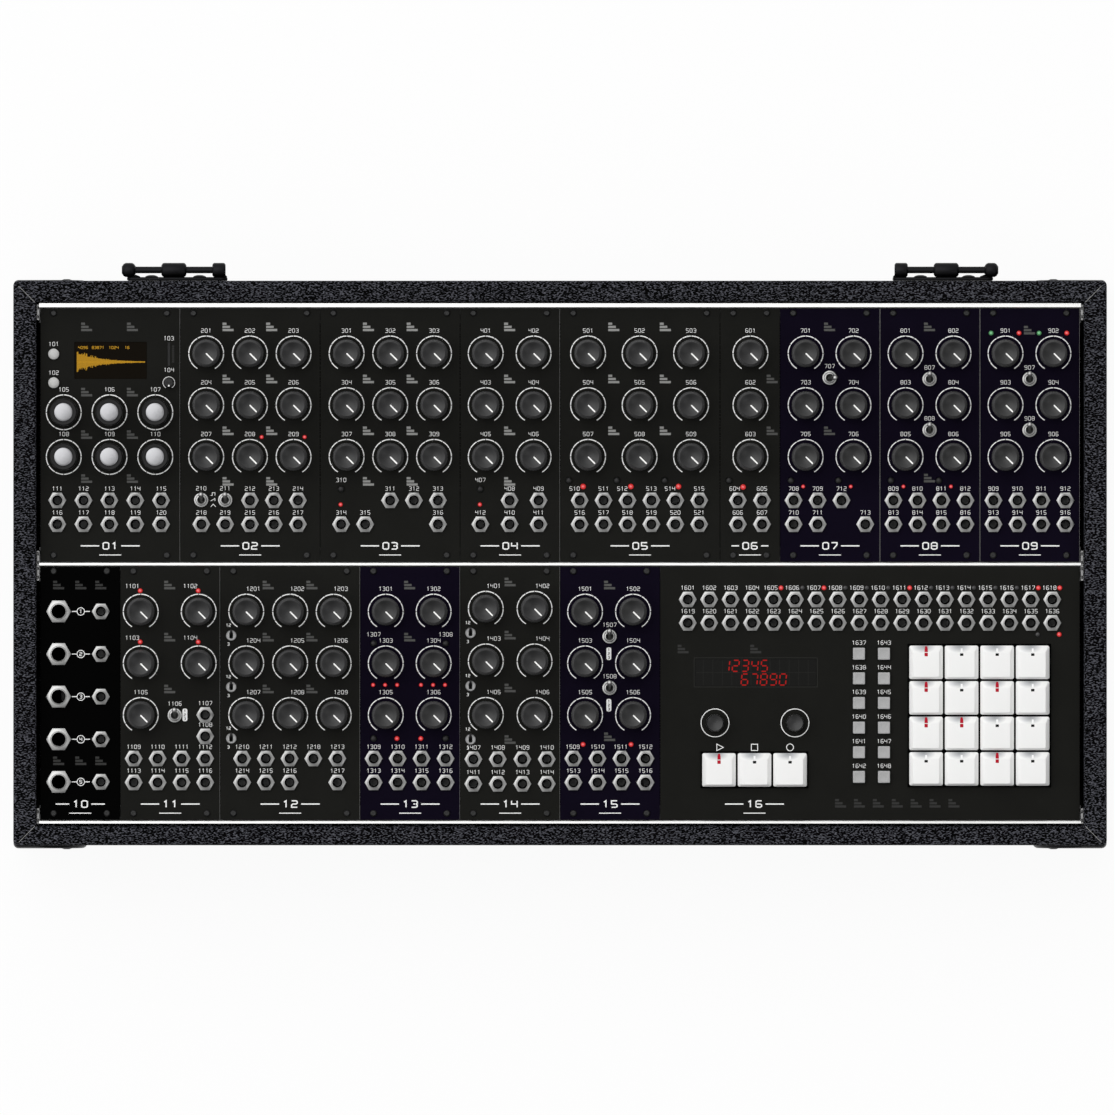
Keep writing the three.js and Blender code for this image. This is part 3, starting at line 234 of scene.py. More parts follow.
MODULES = [
    {"name": "sampler", "units": 14, "finish": "panel_warm", "lit_edges": (False, True), "controls": [
        control("white_button", (0.096,), (0.1793,), names=("sampler_button_upper",)),
        control("white_button", (0.096,), (0.2928,)),
        control("wave_window", (0.5025,), (0.2044,)),
        control("card_slot", (0.918,), (0.1794,)),
        control("trim_knob", (0.919,), (0.2928,)),
        control("capped_encoder", (0.168,), (0.4098,), names=("sampler_encoder_upper_left",)),
        control("capped_encoder", (0.495, 0.822), (0.4098,)),
        control("capped_encoder", (0.168, 0.495, 0.822), (0.5861,)),
        control("jack", (0.1214, 0.309, 0.494, 0.679, 0.8636), JACK_ROW_SHARES),
        control("bars_mark", (0.3315, 0.6585), (0.072, 0.33, 0.498, 0.672), colour="mid"),
    ]},
    {"name": "bass_voice", "units": 14, "finish": "panel_warm", "lit_edges": (False, False), "controls": [
        control("knob", (0.1857, 0.498, 0.81), KNOB_ROW_SHARES),
        control("toggle", (0.15, 0.3214), (0.7565,), heading=90),
        control("jack", (0.4986, 0.6693, 0.8414), JACK_ROW_SHARES),
        control("jack", (0.1514, 0.3214), JACK_ROW_SHARES[1:]),
        control("lamp", (0.582, 0.889), (0.5076,), colour="red", radius=1.0),
        control("wave_marks", (0.236,), (0.7565,)),
        control("bars_mark", (0.342, 0.654), MARK_ROW_SHARES, colour="grey"),
    ]},
    {"name": "bass_drum", "units": 14, "finish": "panel_warm", "lit_edges": (False, False), "controls": [
        control("knob", (0.189, 0.501, 0.814), KNOB_ROW_SHARES),
        control("dark_button", (0.15,), (0.713,), labelled=True),
        control("jack", (0.5, 0.67, 0.8414), JACK_ROW_SHARES[:1]),
        control("jack", (0.15, 0.3214, 0.8414), JACK_ROW_SHARES[1:]),
        control("lamp", (0.1464,), (0.7745,), colour="red", radius=1.05),
        control("bars_mark", (0.345, 0.6575), MARK_ROW_SHARES, colour="grey"),
    ]},
    {"name": "snare", "units": 10, "finish": "panel_warm", "lit_edges": (False, True), "controls": [
        control("knob", PAIR_KNOB_SHARES, KNOB_ROW_SHARES),
        control("dark_button", (0.203,), (0.713,), labelled=True),
        control("jack", (0.495, 0.785), JACK_ROW_SHARES),
        control("jack", (0.203,), JACK_ROW_SHARES[1:]),
        control("lamp", (0.198,), (0.7745,), colour="red", radius=1.05),
        control("bars_mark", (0.4955,), MARK_ROW_SHARES, colour="grey"),
    ]},
    {"name": "toms", "units": 16, "finish": "panel_warm", "lit_edges": (False, False), "controls": [
        control("knob", (0.175, 0.497, 0.819), KNOB_ROW_SHARES),
        control("dark_button", (0.056, 0.355, 0.654), (0.6794,)),
        control("jack", spread(0.1225, 0.87, 6), JACK_ROW_SHARES),
        control("lamp", (0.1444, 0.4425, 0.7406), (0.7033,), colour="red", radius=1.4),
        control("bars_mark", (0.336, 0.658), MARK_ROW_SHARES[:3], colour="grey"),
    ]},
    {"name": "clap", "units": 6, "finish": "panel_warm", "lit_edges": (False, False), "controls": [
        control("knob", (0.507,), KNOB_ROW_SHARES,
                names=("clap_knob_upper", "clap_knob_middle", "clap_knob_lower")),
        control("dark_button", (0.15,), (0.6794,), names=("clap_trigger_button",)),
        control("jack", (0.297, 0.7), JACK_ROW_SHARES),
        control("lamp", (0.385,), (0.7053,), colour="red", radius=1.4),
        control("bars_mark", (0.87,), MARK_ROW_SHARES[1:3], colour="mid"),
    ]},
    {"name": "hats", "units": 10, "finish": "panel_cool", "lit_edges": (False, True), "controls": [
        control("knob", PAIR_KNOB_SHARES, KNOB_ROW_SHARES),
        control("toggle", (0.496,), (0.2732,), heading=0, names=("hats_toggle_lever",)),
        control("dark_button", (0.11, 0.585), (0.6794,)),
        control("jack", (0.136, 0.376), JACK_ROW_SHARES),
        control("jack", (0.615,), JACK_ROW_SHARES[:1]),
        control("jack", (0.853,), JACK_ROW_SHARES[1:]),
        control("lamp", (0.232, 0.708), (0.7033,), colour="red", radius=0.95),
        control("bars_mark", (0.4955,), (0.072, 0.483), colour="mid"),
    ]},
    {"name": "cymbals", "units": 10, "finish": "panel_cool", "lit_edges": (True, True), "controls": [
        control("knob", PAIR_KNOB_SHARES, KNOB_ROW_SHARES),
        control("toggle", (0.496,), (0.2785, 0.4798), heading=90),
        control("dark_button", (0.11, 0.59), (0.6794,)),
        control("jack", FOUR_JACK_SHARES, JACK_ROW_SHARES),
        control("lamp", (0.235, 0.71), (0.7033,), colour="red", radius=0.95),
        control("bars_mark", (0.4955,), (0.072, 0.67), colour="mid"),
    ]},
    {"name": "modulator", "units": 10, "finish": "panel_cool", "lit_edges": (True, True), "controls": [
        control("knob", PAIR_KNOB_SHARES, KNOB_ROW_SHARES),
        control("toggle", (0.496,), (0.2785, 0.4798), heading=90),
        control("jack", FOUR_JACK_SHARES, JACK_ROW_SHARES),
        control("lamp", (0.112, 0.592), (0.0965,), colour="green"),
        control("lamp", (0.391, 0.869), (0.0965,), colour="red"),
        control("bars_mark", (0.4955,), (0.085,), colour="mid"),
    ]},
    {"name": "link", "units": 8, "finish": "panel_black", "lit_edges": (False, False), "controls": [
        control("socket", (0.23,), LINK_ROW_SHARES),
        control("jack", (0.7575,), LINK_ROW_SHARES),
        control("link_mark", (0.507,), LINK_ROW_SHARES),
        control("bars_mark", (0.23, 0.507, 0.7575), (0.072, 0.767), colour="dim"),
    ]},
    {"name": "stereo_mixer", "units": 10, "finish": "panel_warm", "lit_edges": (False, True), "controls": [
        control("knob", (0.205, 0.785), KNOB_ROW_SHARES[:2], shift=(-4.3, 1.4)),
        control("knob", (0.205,), KNOB_ROW_SHARES[2:]),
        control("toggle", (0.545,), (0.587,), heading=90),
        control("strip_mark", (0.647,), (0.5855,)),
        control("jack", (0.85,), (0.5855, 0.6704)),
        control("jack", (0.135, 0.374, 0.614, 0.85), JACK_ROW_SHARES),
        control("lamp", (0.2, 0.78), (0.0945, 0.2969), colour="red"),
        control("bars_mark", (0.495,), MARK_ROW_SHARES[:3], colour="mid"),
    ]},
    {"name": "mixer", "units": 14, "finish": "panel_warm", "lit_edges": (False, True), "controls": [
        control("knob", (0.186, 0.5, 0.811), KNOB_ROW_SHARES, shift=(3.6, 0)),
        control("mini_toggle", (0.0786,), (0.2711,), names=("mixer_toggle_lever",)),
        control("mini_toggle", (0.0786,), (0.4748, 0.6784)),
        control("jack", (0.157, 0.326, 0.496, 0.837), JACK_ROW_SHARES),
        control("jack", (0.666,), JACK_ROW_SHARES[:1]),
        control("bars_mark", (0.343, 0.6555), MARK_ROW_SHARES[:3], colour="mid"),
    ]},
    {"name": "dual_effects", "units": 10, "finish": "panel_cool", "lit_edges": (False, True), "controls": [
        control("knob", PAIR_KNOB_SHARES, KNOB_ROW_SHARES),
        control("dark_button", (0.135, 0.855), (0.3028,), labelled=True),
        control("dark_button", (0.135, 0.855), (0.6784,)),
        control("jack", FOUR_JACK_SHARES, JACK_ROW_SHARES),
        control("lamp", (0.13, 0.25, 0.37, 0.609, 0.73, 0.849), (0.4669,), colour="red", radius=1.0),
        control("lamp", (0.368, 0.607), (0.6788,), colour="red"),
        control("bars_mark", (0.4955,), MARK_ROW_SHARES[:2], colour="mid"),
    ]},
    {"name": "small_mixer", "units": 10, "finish": "panel_warm", "lit_edges": (False, True), "controls": [
        control("knob", (0.257, 0.745), (0.1656, 0.3739, 0.5855), shift=(4.0, 0)),
        control("mini_toggle", (0.104,), (0.2613, 0.4708, 0.6823)),
        control("jack", (0.133, 0.377, 0.623, 0.867), (0.7605, 0.8582)),
        control("bars_mark", (0.5,), (0.06, 0.27, 0.479, 0.683), colour="mid"),
    ]},
    {"name": "dual_drive", "units": 10, "finish": "panel_cool", "lit_edges": (False, False), "controls": [
        control("knob", (0.25, 0.73), KNOB_ROW_SHARES),
        control("toggle", (0.495,), (0.2751, 0.4787), heading=90),
        control("strip_mark", (0.488,), (0.3435, 0.547)),
        control("jack", (0.133, 0.374, 0.614, 0.854), JACK_ROW_SHARES),
        control("lamp", (0.23, 0.71), (0.7021,), colour="red"),
        control("bars_mark", (0.4955,), (0.072, 0.672), colour="mid"),
    ]},
    {"name": "sequencer", "units": 42, "finish": "panel_warm", "lit_edges": (False, False), "controls": [
        control("jack", SEQUENCER_JACK_SHARES, (0.1289, 0.2217)),
        control("digit_window", (0.2279,), (0.4175,)),
        control("small_encoder", (0.131, 0.3214), (0.617,),
                names=("sequencer_encoder_left", "sequencer_encoder_right")),
        control("square_button", (0.4738,), SQUARE_ROW_SHARES[:1], names=("sequencer_button_upper_left",)),
        control("square_button", (0.4738,), SQUARE_ROW_SHARES[1:]),
        control("square_button", (0.5333,), SQUARE_ROW_SHARES),
        control("lamp", [LAMP_OVER_JACK_SHARES[i] for i in LIT_TRACKS], (0.083,), colour="red", radius=1.2),
        control("lamp", [share for i, share in enumerate(LAMP_OVER_JACK_SHARES) if i not in LIT_TRACKS],
                (0.083,), colour="off", radius=1.2),
        control("lamp", (0.8995,), (0.2672,), colour="off", radius=1.2),
        control("lamp", (0.9507,), (0.2672,), colour="red", radius=1.2),
        control("transport_marks", (0.225,), (0.7138,)),
        control("bars_mark", (0.055, 0.228), (0.325,), colour="dim"),
        control("bars_mark", (0.43, 0.475, 0.52, 0.565, 0.61, 0.655, 0.7), (0.935,), colour="dim"),
    ], "title_column": 0.225, "screws": False, "key_blocks": [
        {"centre": STEP_KEY_SHARES, "columns": 4, "rows": 4,
         "names": tuple(f"step_key_{i + 1}" for i in range(16))},
        {"centre": TRANSPORT_KEY_SHARES, "columns": 3, "rows": 1, "names": TRANSPORT_KEYS},
    ]},
]


# Forms: corners and faces in millimetres


class Form:
    """Corners and faces, gathered before they become one mesh."""

    def __init__(self):
        self.corners = []
        self.faces = []

    def add(self, corners, faces):
        start = len(self.corners)
        self.corners.extend(Vector(corner) for corner in corners)
        self.faces.extend([start + i for i in face] for face in faces)
        return self

    def stamp(self, other, at=(0, 0, 0), turn=0.0):
        """Adds a copy of another form, turned about Z and moved."""
        place = Matrix.Translation(at) @ Matrix.Rotation(turn, 4, "Z")
        return self.add([place @ corner for corner in other.corners], other.faces)

    def moved(self, matrix):
        """A copy of this form under any matrix."""
        return Form().add([matrix @ corner for corner in self.corners], self.faces)


def bridge(low, low_count, high, high_count):
    """Faces between two rings, either of which may be a single tip."""
    if low_count == 1:
        return [(low, high + (i + 1) % high_count, high + i) for i in range(high_count)]
    if high_count == 1:
        return [(low + i, low + (i + 1) % low_count, high) for i in range(low_count)]
    count = low_count
    return [(low + i, low + (i + 1) % count, high + (i + 1) % count, high + i) for i in range(count)]


def skin(rings, closed=False):
    """A closed form over rings, lowest first and anticlockwise seen from above; closed joins the ends."""
    starts = [0]
    for ring in rings:
        starts.append(starts[-1] + len(ring))
    pairs = [(i, i + 1) for i in range(len(rings) - 1)]
    if closed:
        pairs.append((len(rings) - 1, 0))
    faces = []
    for low, high in pairs:
        faces += bridge(starts[low], len(rings[low]), starts[high], len(rings[high]))
    if not closed and len(rings[0]) > 1:
        faces.append(tuple(reversed(range(len(rings[0])))))
    if not closed and len(rings[-1]) > 1:
        faces.append(tuple(range(starts[-2], starts[-1])))
    return Form().add([corner for ring in rings for corner in ring], faces)


def circle(radius, z=0.0, sides=32, centre=(0.0, 0.0)):
    angles = [math.tau * i / sides for i in range(sides)]
    return [(centre[0] + radius * math.cos(a), centre[1] + radius * math.sin(a), z) for a in angles]


def turned(profile, sides=40, closed=False):
    """A round form about Z from (radius, height) points, lowest first; closed is for one with a bore."""
    rings = [circle(radius, z, sides) if radius else [(0, 0, z)] for radius, z in profile]
    return skin(rings, closed)


def round_rectangle(x, y, z, radius, steps=4):
    """A rectangle between two values on each axis with round corners, as one ring."""
    ring = []
    corners = ((x[1], y[1], 0), (x[0], y[1], 90), (x[0], y[0], 180), (x[1], y[0], 270))
    for corner_x, corner_y, start in corners:
        centre_x = corner_x - (radius if corner_x == x[1] else -radius)
        centre_y = corner_y - (radius if corner_y == y[1] else -radius)
        for i in range(steps + 1):
            angle = math.radians(start + 90 * i / steps)
            ring.append((centre_x + radius * math.cos(angle), centre_y + radius * math.sin(angle), z))
    return ring


def soft_block(x, y, z, radius=0.4, edge=0.2, steps=3):
    """A block with round upright corners and small bevels above and below."""
    def ring(inset, height):
        return round_rectangle((x[0] + inset, x[1] - inset), (y[0] + inset, y[1] - inset), height,
                               max(radius - inset, 0.02), steps)
    return skin([ring(edge, z[0]), ring(0, z[0] + edge), ring(0, z[1] - edge), ring(edge, z[1])])


def centred_block(width, depth, z, radius=0.4, edge=0.2, at=(0.0, 0.0)):
    """A soft block round a point of the plan."""
    x = (at[0] - width / 2, at[0] + width / 2)
    y = (at[1] - depth / 2, at[1] + depth / 2)
    return soft_block(x, y, z, radius, edge)


def at_height(outline, z):
    return [(corner[0], corner[1], z) for corner in outline]


def prism(outline, z):
    """An upright form over any anticlockwise outline."""
    return skin([at_height(outline, z[0]), at_height(outline, z[1])])


def rectangle(width, height, at=(0.0, 0.0)):
    x, y = width / 2, height / 2
    return [(at[0] + i * x, at[1] + j * y) for i, j in ((-1, -1), (1, -1), (1, 1), (-1, 1))]


def border(outer, inner, z, chamfer=0.0):
    """A closed frame between two outlines of equal count, its outer upper edge drawn in by the chamfer."""
    share = 1 - chamfer / max(Vector(corner[:2]).length for corner in outer)
    top = [(corner[0] * share, corner[1] * share) for corner in outer]
    rings = [at_height(outer, z[0]), at_height(outer, z[1] - chamfer), at_height(top, z[1]),
             at_height(inner, z[1]), at_height(inner, z[0])]
    return skin(rings, closed=True)


def inside(point, outline):
    """Whether a point lies inside an outline."""
    hit = False
    x, y = point
    previous = outline[-1]
    for corner in outline:
        if (corner[1] > y) != (previous[1] > y):
            crossing = corner[0] + (y - corner[1]) * (previous[0] - corner[0]) / (previous[1] - corner[1])
            if x < crossing:
                hit = not hit
        previous = corner
    return hit


def slab(outline, holes, z):
    """A plate over an outline with upright holes."""
    loops = [outline, *holes]
    points = [Vector(corner[:2]) for loop in loops for corner in loop]
    edges = []
    for loop in loops:
        start = len(edges)
        count = len(loop)
        edges.extend((start + i, start + (i + 1) % count) for i in range(count))
    corners, _, triangles, *_ = delaunay_2d_cdt(points, edges, [], 1, 1e-5)
    kept = []
    for triangle in triangles:
        middle = sum((corners[i] for i in triangle), Vector((0, 0))) / len(triangle)
        if not any(inside(middle, hole) for hole in holes):
            kept.append(tuple(triangle))
    form = Form()
    count = len(corners)
    form.add([(c.x, c.y, level) for level in z for c in corners], [])
    form.faces += [tuple(reversed(triangle)) for triangle in kept]
    form.faces += [tuple(count + i for i in triangle) for triangle in kept]
    sides = {(a, b) for triangle in kept for a, b in zip(triangle, triangle[1:] + triangle[:1])}
    form.faces += [(a, b, count + b, count + a) for a, b in sides if (b, a) not in sides]
    return form


def band(points, width, z=PRINT, closed=False):
    """A printed line of even width along points of the plan."""
    path = [Vector(point) for point in points]
    count = len(path)
    rings = []
    for i, point in enumerate(path):
        before = path[i - 1] if i or closed else None
        after = path[(i + 1) % count] if i < count - 1 or closed else None
        directions = [(point - before).normalized()] if before is not None else []
        directions += [(after - point).normalized()] if after is not None else []
        tangent = sum(directions, Vector((0, 0))).normalized()
        across = Vector((-tangent.y, tangent.x))
        stretch = 1 / max(tangent.dot(directions[0]), 0.4)
        left = point + across * width / 2 * stretch
        right = point - across * width / 2 * stretch
        rings.append([(right.x, right.y, z[0]), (left.x, left.y, z[0]), (left.x, left.y, z[1]),
                      (right.x, right.y, z[1])])
    return skin(rings, closed)


def arc_points(radius, start, end, steps, at=(0.0, 0.0)):
    angles = [start + (end - start) * i / steps for i in range(steps + 1)]
    return [(at[0] + radius * math.cos(a), at[1] + radius * math.sin(a)) for a in angles]


def hoop(radius, width, z=PRINT, sides=48):
    """A printed full circle."""
    return band(arc_points(radius, 0, math.tau, sides)[:-1], width, z, closed=True)


# Printed figures: each digit is one or two strokes on a field one unit high

DIGIT_WIDTH = 0.56
DIGIT_SPACE = 0.30
CORNER = 0.13
W, C, H = DIGIT_WIDTH, CORNER, 0.5
DIGIT_STROKES = {
    "0": [[(C, -H), (W - C, -H), (W, C - H), (W, H - C), (W - C, H), (C, H), (0, H - C), (0, C - H)]],
    "1": [[(0.1, 0.3), (0.3, H), (0.3, -H)]],
    "2": [[(0, H), (W - C, H), (W, H - C), (W, C), (W - C, 0), (C, 0), (0, -C), (0, -H), (W, -H)]],
    "3": [[(0, H), (W - C, H), (W, H - C), (W, C), (W - C, 0), (W, -C), (W, C - H), (W - C, -H), (0, -H)],
          [(0.18, 0), (W - C, 0)]],
    "4": [[(0, H), (0, 0), (W, 0)], [(W, H), (W, -H)]],
    "5": [[(W, H), (0, H), (0, 0), (W - C, 0), (W, -C), (W, C - H), (W - C, -H), (0, -H)]],
    "6": [[(W, H), (C, H), (0, H - C), (0, C - H), (C, -H), (W - C, -H), (W, C - H), (W, -C), (W - C, 0), (0, 0)]],
    "7": [[(0, H), (W, H), (W, 0.2), (0.2, -H)]],
    "8": [[(C, -H), (W - C, -H), (W, C - H), (W, H - C), (W - C, H), (C, H), (0, H - C), (0, C - H)],
          [(0, 0), (W, 0)]],
    "9": [[(0, -H), (W - C, -H), (W, C - H), (W, H - C), (W - C, H), (C, H), (0, H - C), (0, C), (C, 0), (W, 0)]],
}
LOOPED_DIGITS = "08"


def text_width(text, height, stretch=1.0):
    return (len(text) * (DIGIT_WIDTH + DIGIT_SPACE) - DIGIT_SPACE) * height * stretch


def number(text, height, weight=0.3, z=PRINT, stretch=1.0):
    """A printed number, centred on the origin."""
    form = Form()
    left = -text_width(text, height, stretch) / 2
    for i, character in enumerate(text):
        x = left + i * (DIGIT_WIDTH + DIGIT_SPACE) * height * stretch
        for j, stroke in enumerate(DIGIT_STROKES[character]):
            points = [(x + px * height * stretch, py * (height - weight)) for px, py in stroke]
            form.stamp(band(points, weight, z, closed=character in LOOPED_DIGITS and j == 0))
    return form


# Shapes of the controls, each round the origin on the panel's upper face


def hexagon_ring(corner, height_at, steps=8):
    """A hexagon's outline, whose height follows its distance from the centre."""
    ring = []
    for i in range(6 * steps):
        angle = math.tau * i / (6 * steps)
        radius = corner * math.cos(math.pi / 6) / math.cos(angle % (math.pi / 3) - math.pi / 6)
        ring.append((radius * math.cos(angle), radius * math.sin(angle), height_at(radius)))
    return ring


def hex_nut(corner, height, hole):
    """A nut with the round chamfer of a turned blank, a slightly crowned face and its bushing's end."""
    sides = 48
    flat = corner * math.cos(math.pi / 6) * 0.97
    lip = hole + 0.5
    crown = 0.28
    rings = [
        hexagon_ring(corner, lambda radius: 0.0),
        hexagon_ring(corner, lambda radius: height - crown - max(radius - flat, 0) * 0.6),
        circle(flat, height - crown, sides),
        circle(lip + 0.1, height, sides),
        circle(lip + 0.06, height - 0.2, sides),
        circle(lip, height - 0.12, sides),
        circle(hole + 0.08, height + 0.06, sides),
        circle(hole, height - 0.02, sides),
        circle(hole, 0, sides),
    ]
    return skin(rings, closed=True)


def socket_insert(hole, plug, height, depth):
    """The black moulding inside a socket, a cup that the plug enters."""
    top = height - 0.6
    wall = 0.8
    return turned([(0, -depth - wall), (plug + wall, -depth - wall), (plug + wall, -PANEL_THICKNESS), (hole, 0),
                   (hole, top), (plug + 0.15, top), (plug, top - 0.25), (plug, -depth), (0, -depth)], 24)


def socket_floor(plug, depth):
    """The paler end of a socket's cup."""
    return turned([(0, -depth - 0.4), (plug - 0.02, -depth - 0.4), (plug - 0.02, -depth + 0.1), (0, -depth + 0.1)], 24)


# The points of a tapered body that a knob's grip covers
GRIP_POINTS = (6, 7, 8, 9)


def tapered_body(radius, top_radius, height, edge):
    """The outside of a knob from its shaft's end to the rim of its top."""
    fall = radius - top_radius
    return [
        (0, -SHAFT_DEPTH), (SHAFT_RADIUS, -SHAFT_DEPTH), (SHAFT_RADIUS, KNOB_LIFT),
        (radius - 0.35, KNOB_LIFT), (radius, KNOB_LIFT + 0.35), (radius, KNOB_LIFT + 1.1),
        (radius - 0.12, KNOB_LIFT + 1.4), (radius - 0.25 * fall, height * 0.62), (radius - 0.5 * fall, height * 0.84),
        (top_radius + 0.14, height - edge), (top_radius - 0.02, height - 0.3 * edge),
        (top_radius - 0.35 * edge, height),
    ]


def dish(profile, depth, sharp=2.0):
    """Ends a profile in a hollow top of a given depth."""
    radius, height = profile[-1]
    inner = radius - 0.25
    for share in (1.0, 0.88, 0.74, 0.56, 0.36, 0.16, 0):
        profile.append((inner * share, height - depth * (1 - share ** sharp) - 0.08))
    return profile


def knob_core():
    """A knob's foot, rim and hollow top, drawn in where the grip goes round it."""
    profile = tapered_body(KNOB_RADIUS, KNOB_TOP_RADIUS, KNOB_HEIGHT, 0.7)
    for i in GRIP_POINTS:
        profile[i] = (profile[i][0] - 0.3, profile[i][1])
    return turned(dish(profile, KNOB_DISH), 60)


def knob_grip():
    """The fluted wall round a knob."""
    wall = [tapered_body(KNOB_RADIUS, KNOB_TOP_RADIUS, KNOB_HEIGHT, 0.7)[i] for i in GRIP_POINTS]
    inner = [(radius - 0.6, z) for radius, z in reversed(wall)]
    rings = [knurled_ring(radius, z, 0.14, 30) for radius, z in wall]
    rings += [knurled_ring(radius, z, 0, 30) for radius, z in inner]
    return skin(rings, closed=True)


def knob_pointer():
    """The white line let into a knob's hollow top, round at both ends."""
    half = POINTER_WIDTH / 2
    outline = arc_points(half, math.pi / 2, 1.5 * math.pi, 6, (half, 0))
    middle = [(x, -half) for x in (1.4, 2.4, 3.4, 4.2)]
    outline += middle
    outline += arc_points(half, -math.pi / 2, math.pi / 2, 6, (POINTER_LENGTH - half, 0))
    outline += [(x, half) for x, _ in reversed(middle)]
    bottom = KNOB_HEIGHT - KNOB_DISH - 0.4
    inner = KNOB_TOP_RADIUS - 0.6
    low = [(x, y, bottom) for x, y in outline]
    high = [(x, y, KNOB_HEIGHT + 0.04 - KNOB_DISH * (1 - min(x / inner, 1) ** 2 if x > 0 else 1)) for x, y in outline]
    return skin([low, high]).moved(Matrix.Rotation(POINTER_ANGLE, 4, "Z"))


def capped_encoder_body():
    profile = tapered_body(KNOB_RADIUS, KNOB_RADIUS - 0.45, KNOB_HEIGHT - 0.4, 0.8)
    seat = KNOB_HEIGHT - 0.8
    inner = ENCODER_CAP_RADIUS + 0.1
    return turned(profile + [(inner + 0.2, profile[-1][1] - 0.1), (inner, seat), (0, seat)])


def encoder_cap():
    seat = KNOB_HEIGHT - 0.8
    top = ENCODER_TOP
    radius = ENCODER_CAP_RADIUS
    rise = 0.38
    crown = [(radius * 0.93 * share, top - rise * share ** 2) for share in (1.0, 0.85, 0.68, 0.5, 0.3, 0.12, 0)]
    return turned([(0, seat), (radius, seat), (radius, top - rise - 0.2)] + crown, 48)


def small_encoder_body():
    profile = tapered_body(SMALL_ENCODER_RADIUS, SMALL_ENCODER_RADIUS - 0.5, SMALL_ENCODER_HEIGHT, 0.6)
    return turned(dish(profile, 0.7))


def trim_knob():
    """A small trimmer with a round top and a slot across it."""
    radius, height = TRIM_RADIUS, TRIM_HEIGHT
    body = turned([(0, 0), (radius, 0), (radius, height - 0.4), (radius - 0.4, height - 0.1),
                   (radius - 0.6, height - 0.1), (radius - 0.7, height - 0.7), (0, height - 0.7)], 32)
    outline = [corner[:2] for corner in circle(radius - 0.65, sides=24)]
    slot = rectangle(2.2, 0.4)
    return body.stamp(slab(outline, [slot], (height - 0.8, height - 0.1)))


def knurled_ring(radius, z, depth, count):
    """A ring whose radius dips count times."""
    ring = []
    for i in range(count * 4):
        angle = math.tau * i / (count * 4)
        dip = depth if i % 4 in (0, 3) else 0
        ring.append(((radius - dip) * math.cos(angle), (radius - dip) * math.sin(angle), z))
    return ring


def dress_nut(radius, height, hole):
    """A round nut with a knurled edge and a crowned face."""
    count = 20
    return skin([
        knurled_ring(radius - 0.1, 0, 0.08, count),
        knurled_ring(radius, 0.15, 0.1, count),
        knurled_ring(radius, height - 0.35, 0.1, count),
        knurled_ring(radius - 0.12, height - 0.12, 0.05, count),
        knurled_ring(radius - 0.3, height - 0.04, 0, count),
        knurled_ring(hole + 0.1, height, 0, count),
        knurled_ring(hole, height - 0.1, 0, count),
        knurled_ring(hole, 0, 0, count),
    ], closed=True)


def toggle_seat():
    """The dress nut of a toggle switch and the bushing inside it."""
    high = BUSHING_HEIGHT
    outer = BUSHING_RADIUS
    profile = [(outer, -1.5), (outer, high - 0.5), (outer - 0.12, high - 0.25), (outer - 0.4, high - 0.1),
               (BUSHING_MOUTH + 0.1, high), (BUSHING_MOUTH, high - 0.12), (BUSHING_THROAT, THROAT_HEIGHT),
               (BUSHING_THROAT, -1.5)]
    return dress_nut(TOGGLE_NUT_RADIUS, TOGGLE_NUT_HEIGHT, outer + 0.1).stamp(turned(profile, 32, closed=True))


def leaning(form, tilt, heading, pivot):
    """A form that leans from its pivot towards a heading in degrees."""
    place = Matrix.Translation((0, 0, pivot))
    place = place @ Matrix.Rotation(math.radians(heading), 4, "Z") @ Matrix.Rotation(tilt, 4, "Y")
    return form.moved(place)


def toggle_lever(heading):
    """The bat of a toggle switch, thin at its neck and round at its tip."""
    tip, neck, ball = LEVER_TIP_RADIUS, LEVER_NECK_RADIUS, LEVER_BALL_RADIUS
    profile = [(0, -ball), (0.62 * ball, -0.78 * ball), (0.92 * ball, -0.39 * ball), (ball, 0),
               (0.88 * ball, 0.47 * ball), (neck, 0.9 * ball), (neck + 0.05, 3.4), (neck + 0.22, 6.2),
               (tip - 0.1, 8.6), (tip, LEVER_LENGTH - 2 * tip)]
    for i in range(1, 6):
        angle = math.pi / 2 * i / 6
        profile.append((tip * math.cos(angle), LEVER_LENGTH - tip + tip * math.sin(angle)))
    profile.append((0, LEVER_LENGTH))
    return leaning(turned(profile, 24), TOGGLE_TILT, heading, TOGGLE_PIVOT)


def mini_seat():
    """The small nut of a miniature toggle, slotted for its lever."""
    slot_outline = round_rectangle((-MINI_SLOT[0] / 2, MINI_SLOT[0] / 2), (-MINI_SLOT[1] / 2, MINI_SLOT[1] / 2),
                                   0, 0.6, 3)
    outer = circle(MINI_NUT_RADIUS, 0, 36)
    form = slab(outer, [[corner[:2] for corner in slot_outline]], (0, MINI_NUT_HEIGHT - 0.2))
    ring = [(MINI_NUT_RADIUS - 0.05, 0.4), (MINI_NUT_RADIUS, 0.5), (MINI_NUT_RADIUS, MINI_NUT_HEIGHT - 0.3),
            (MINI_NUT_RADIUS - 0.25, MINI_NUT_HEIGHT), (MINI_NUT_RADIUS - 0.6, MINI_NUT_HEIGHT),
            (MINI_NUT_RADIUS - 0.7, MINI_NUT_HEIGHT - 0.4)]
    return form.stamp(turned(ring, 36, closed=True))


def mini_lever(heading=90):
    width, thickness, length = MINI_LEVER
    form = soft_block((-thickness / 2, thickness / 2), (-width / 2, width / 2), (-MINI_LEVER_FOOT, length),
                      0.3, 0.15)
    return leaning(form, MINI_TILT, heading, -MINI_PIVOT_DEPTH)


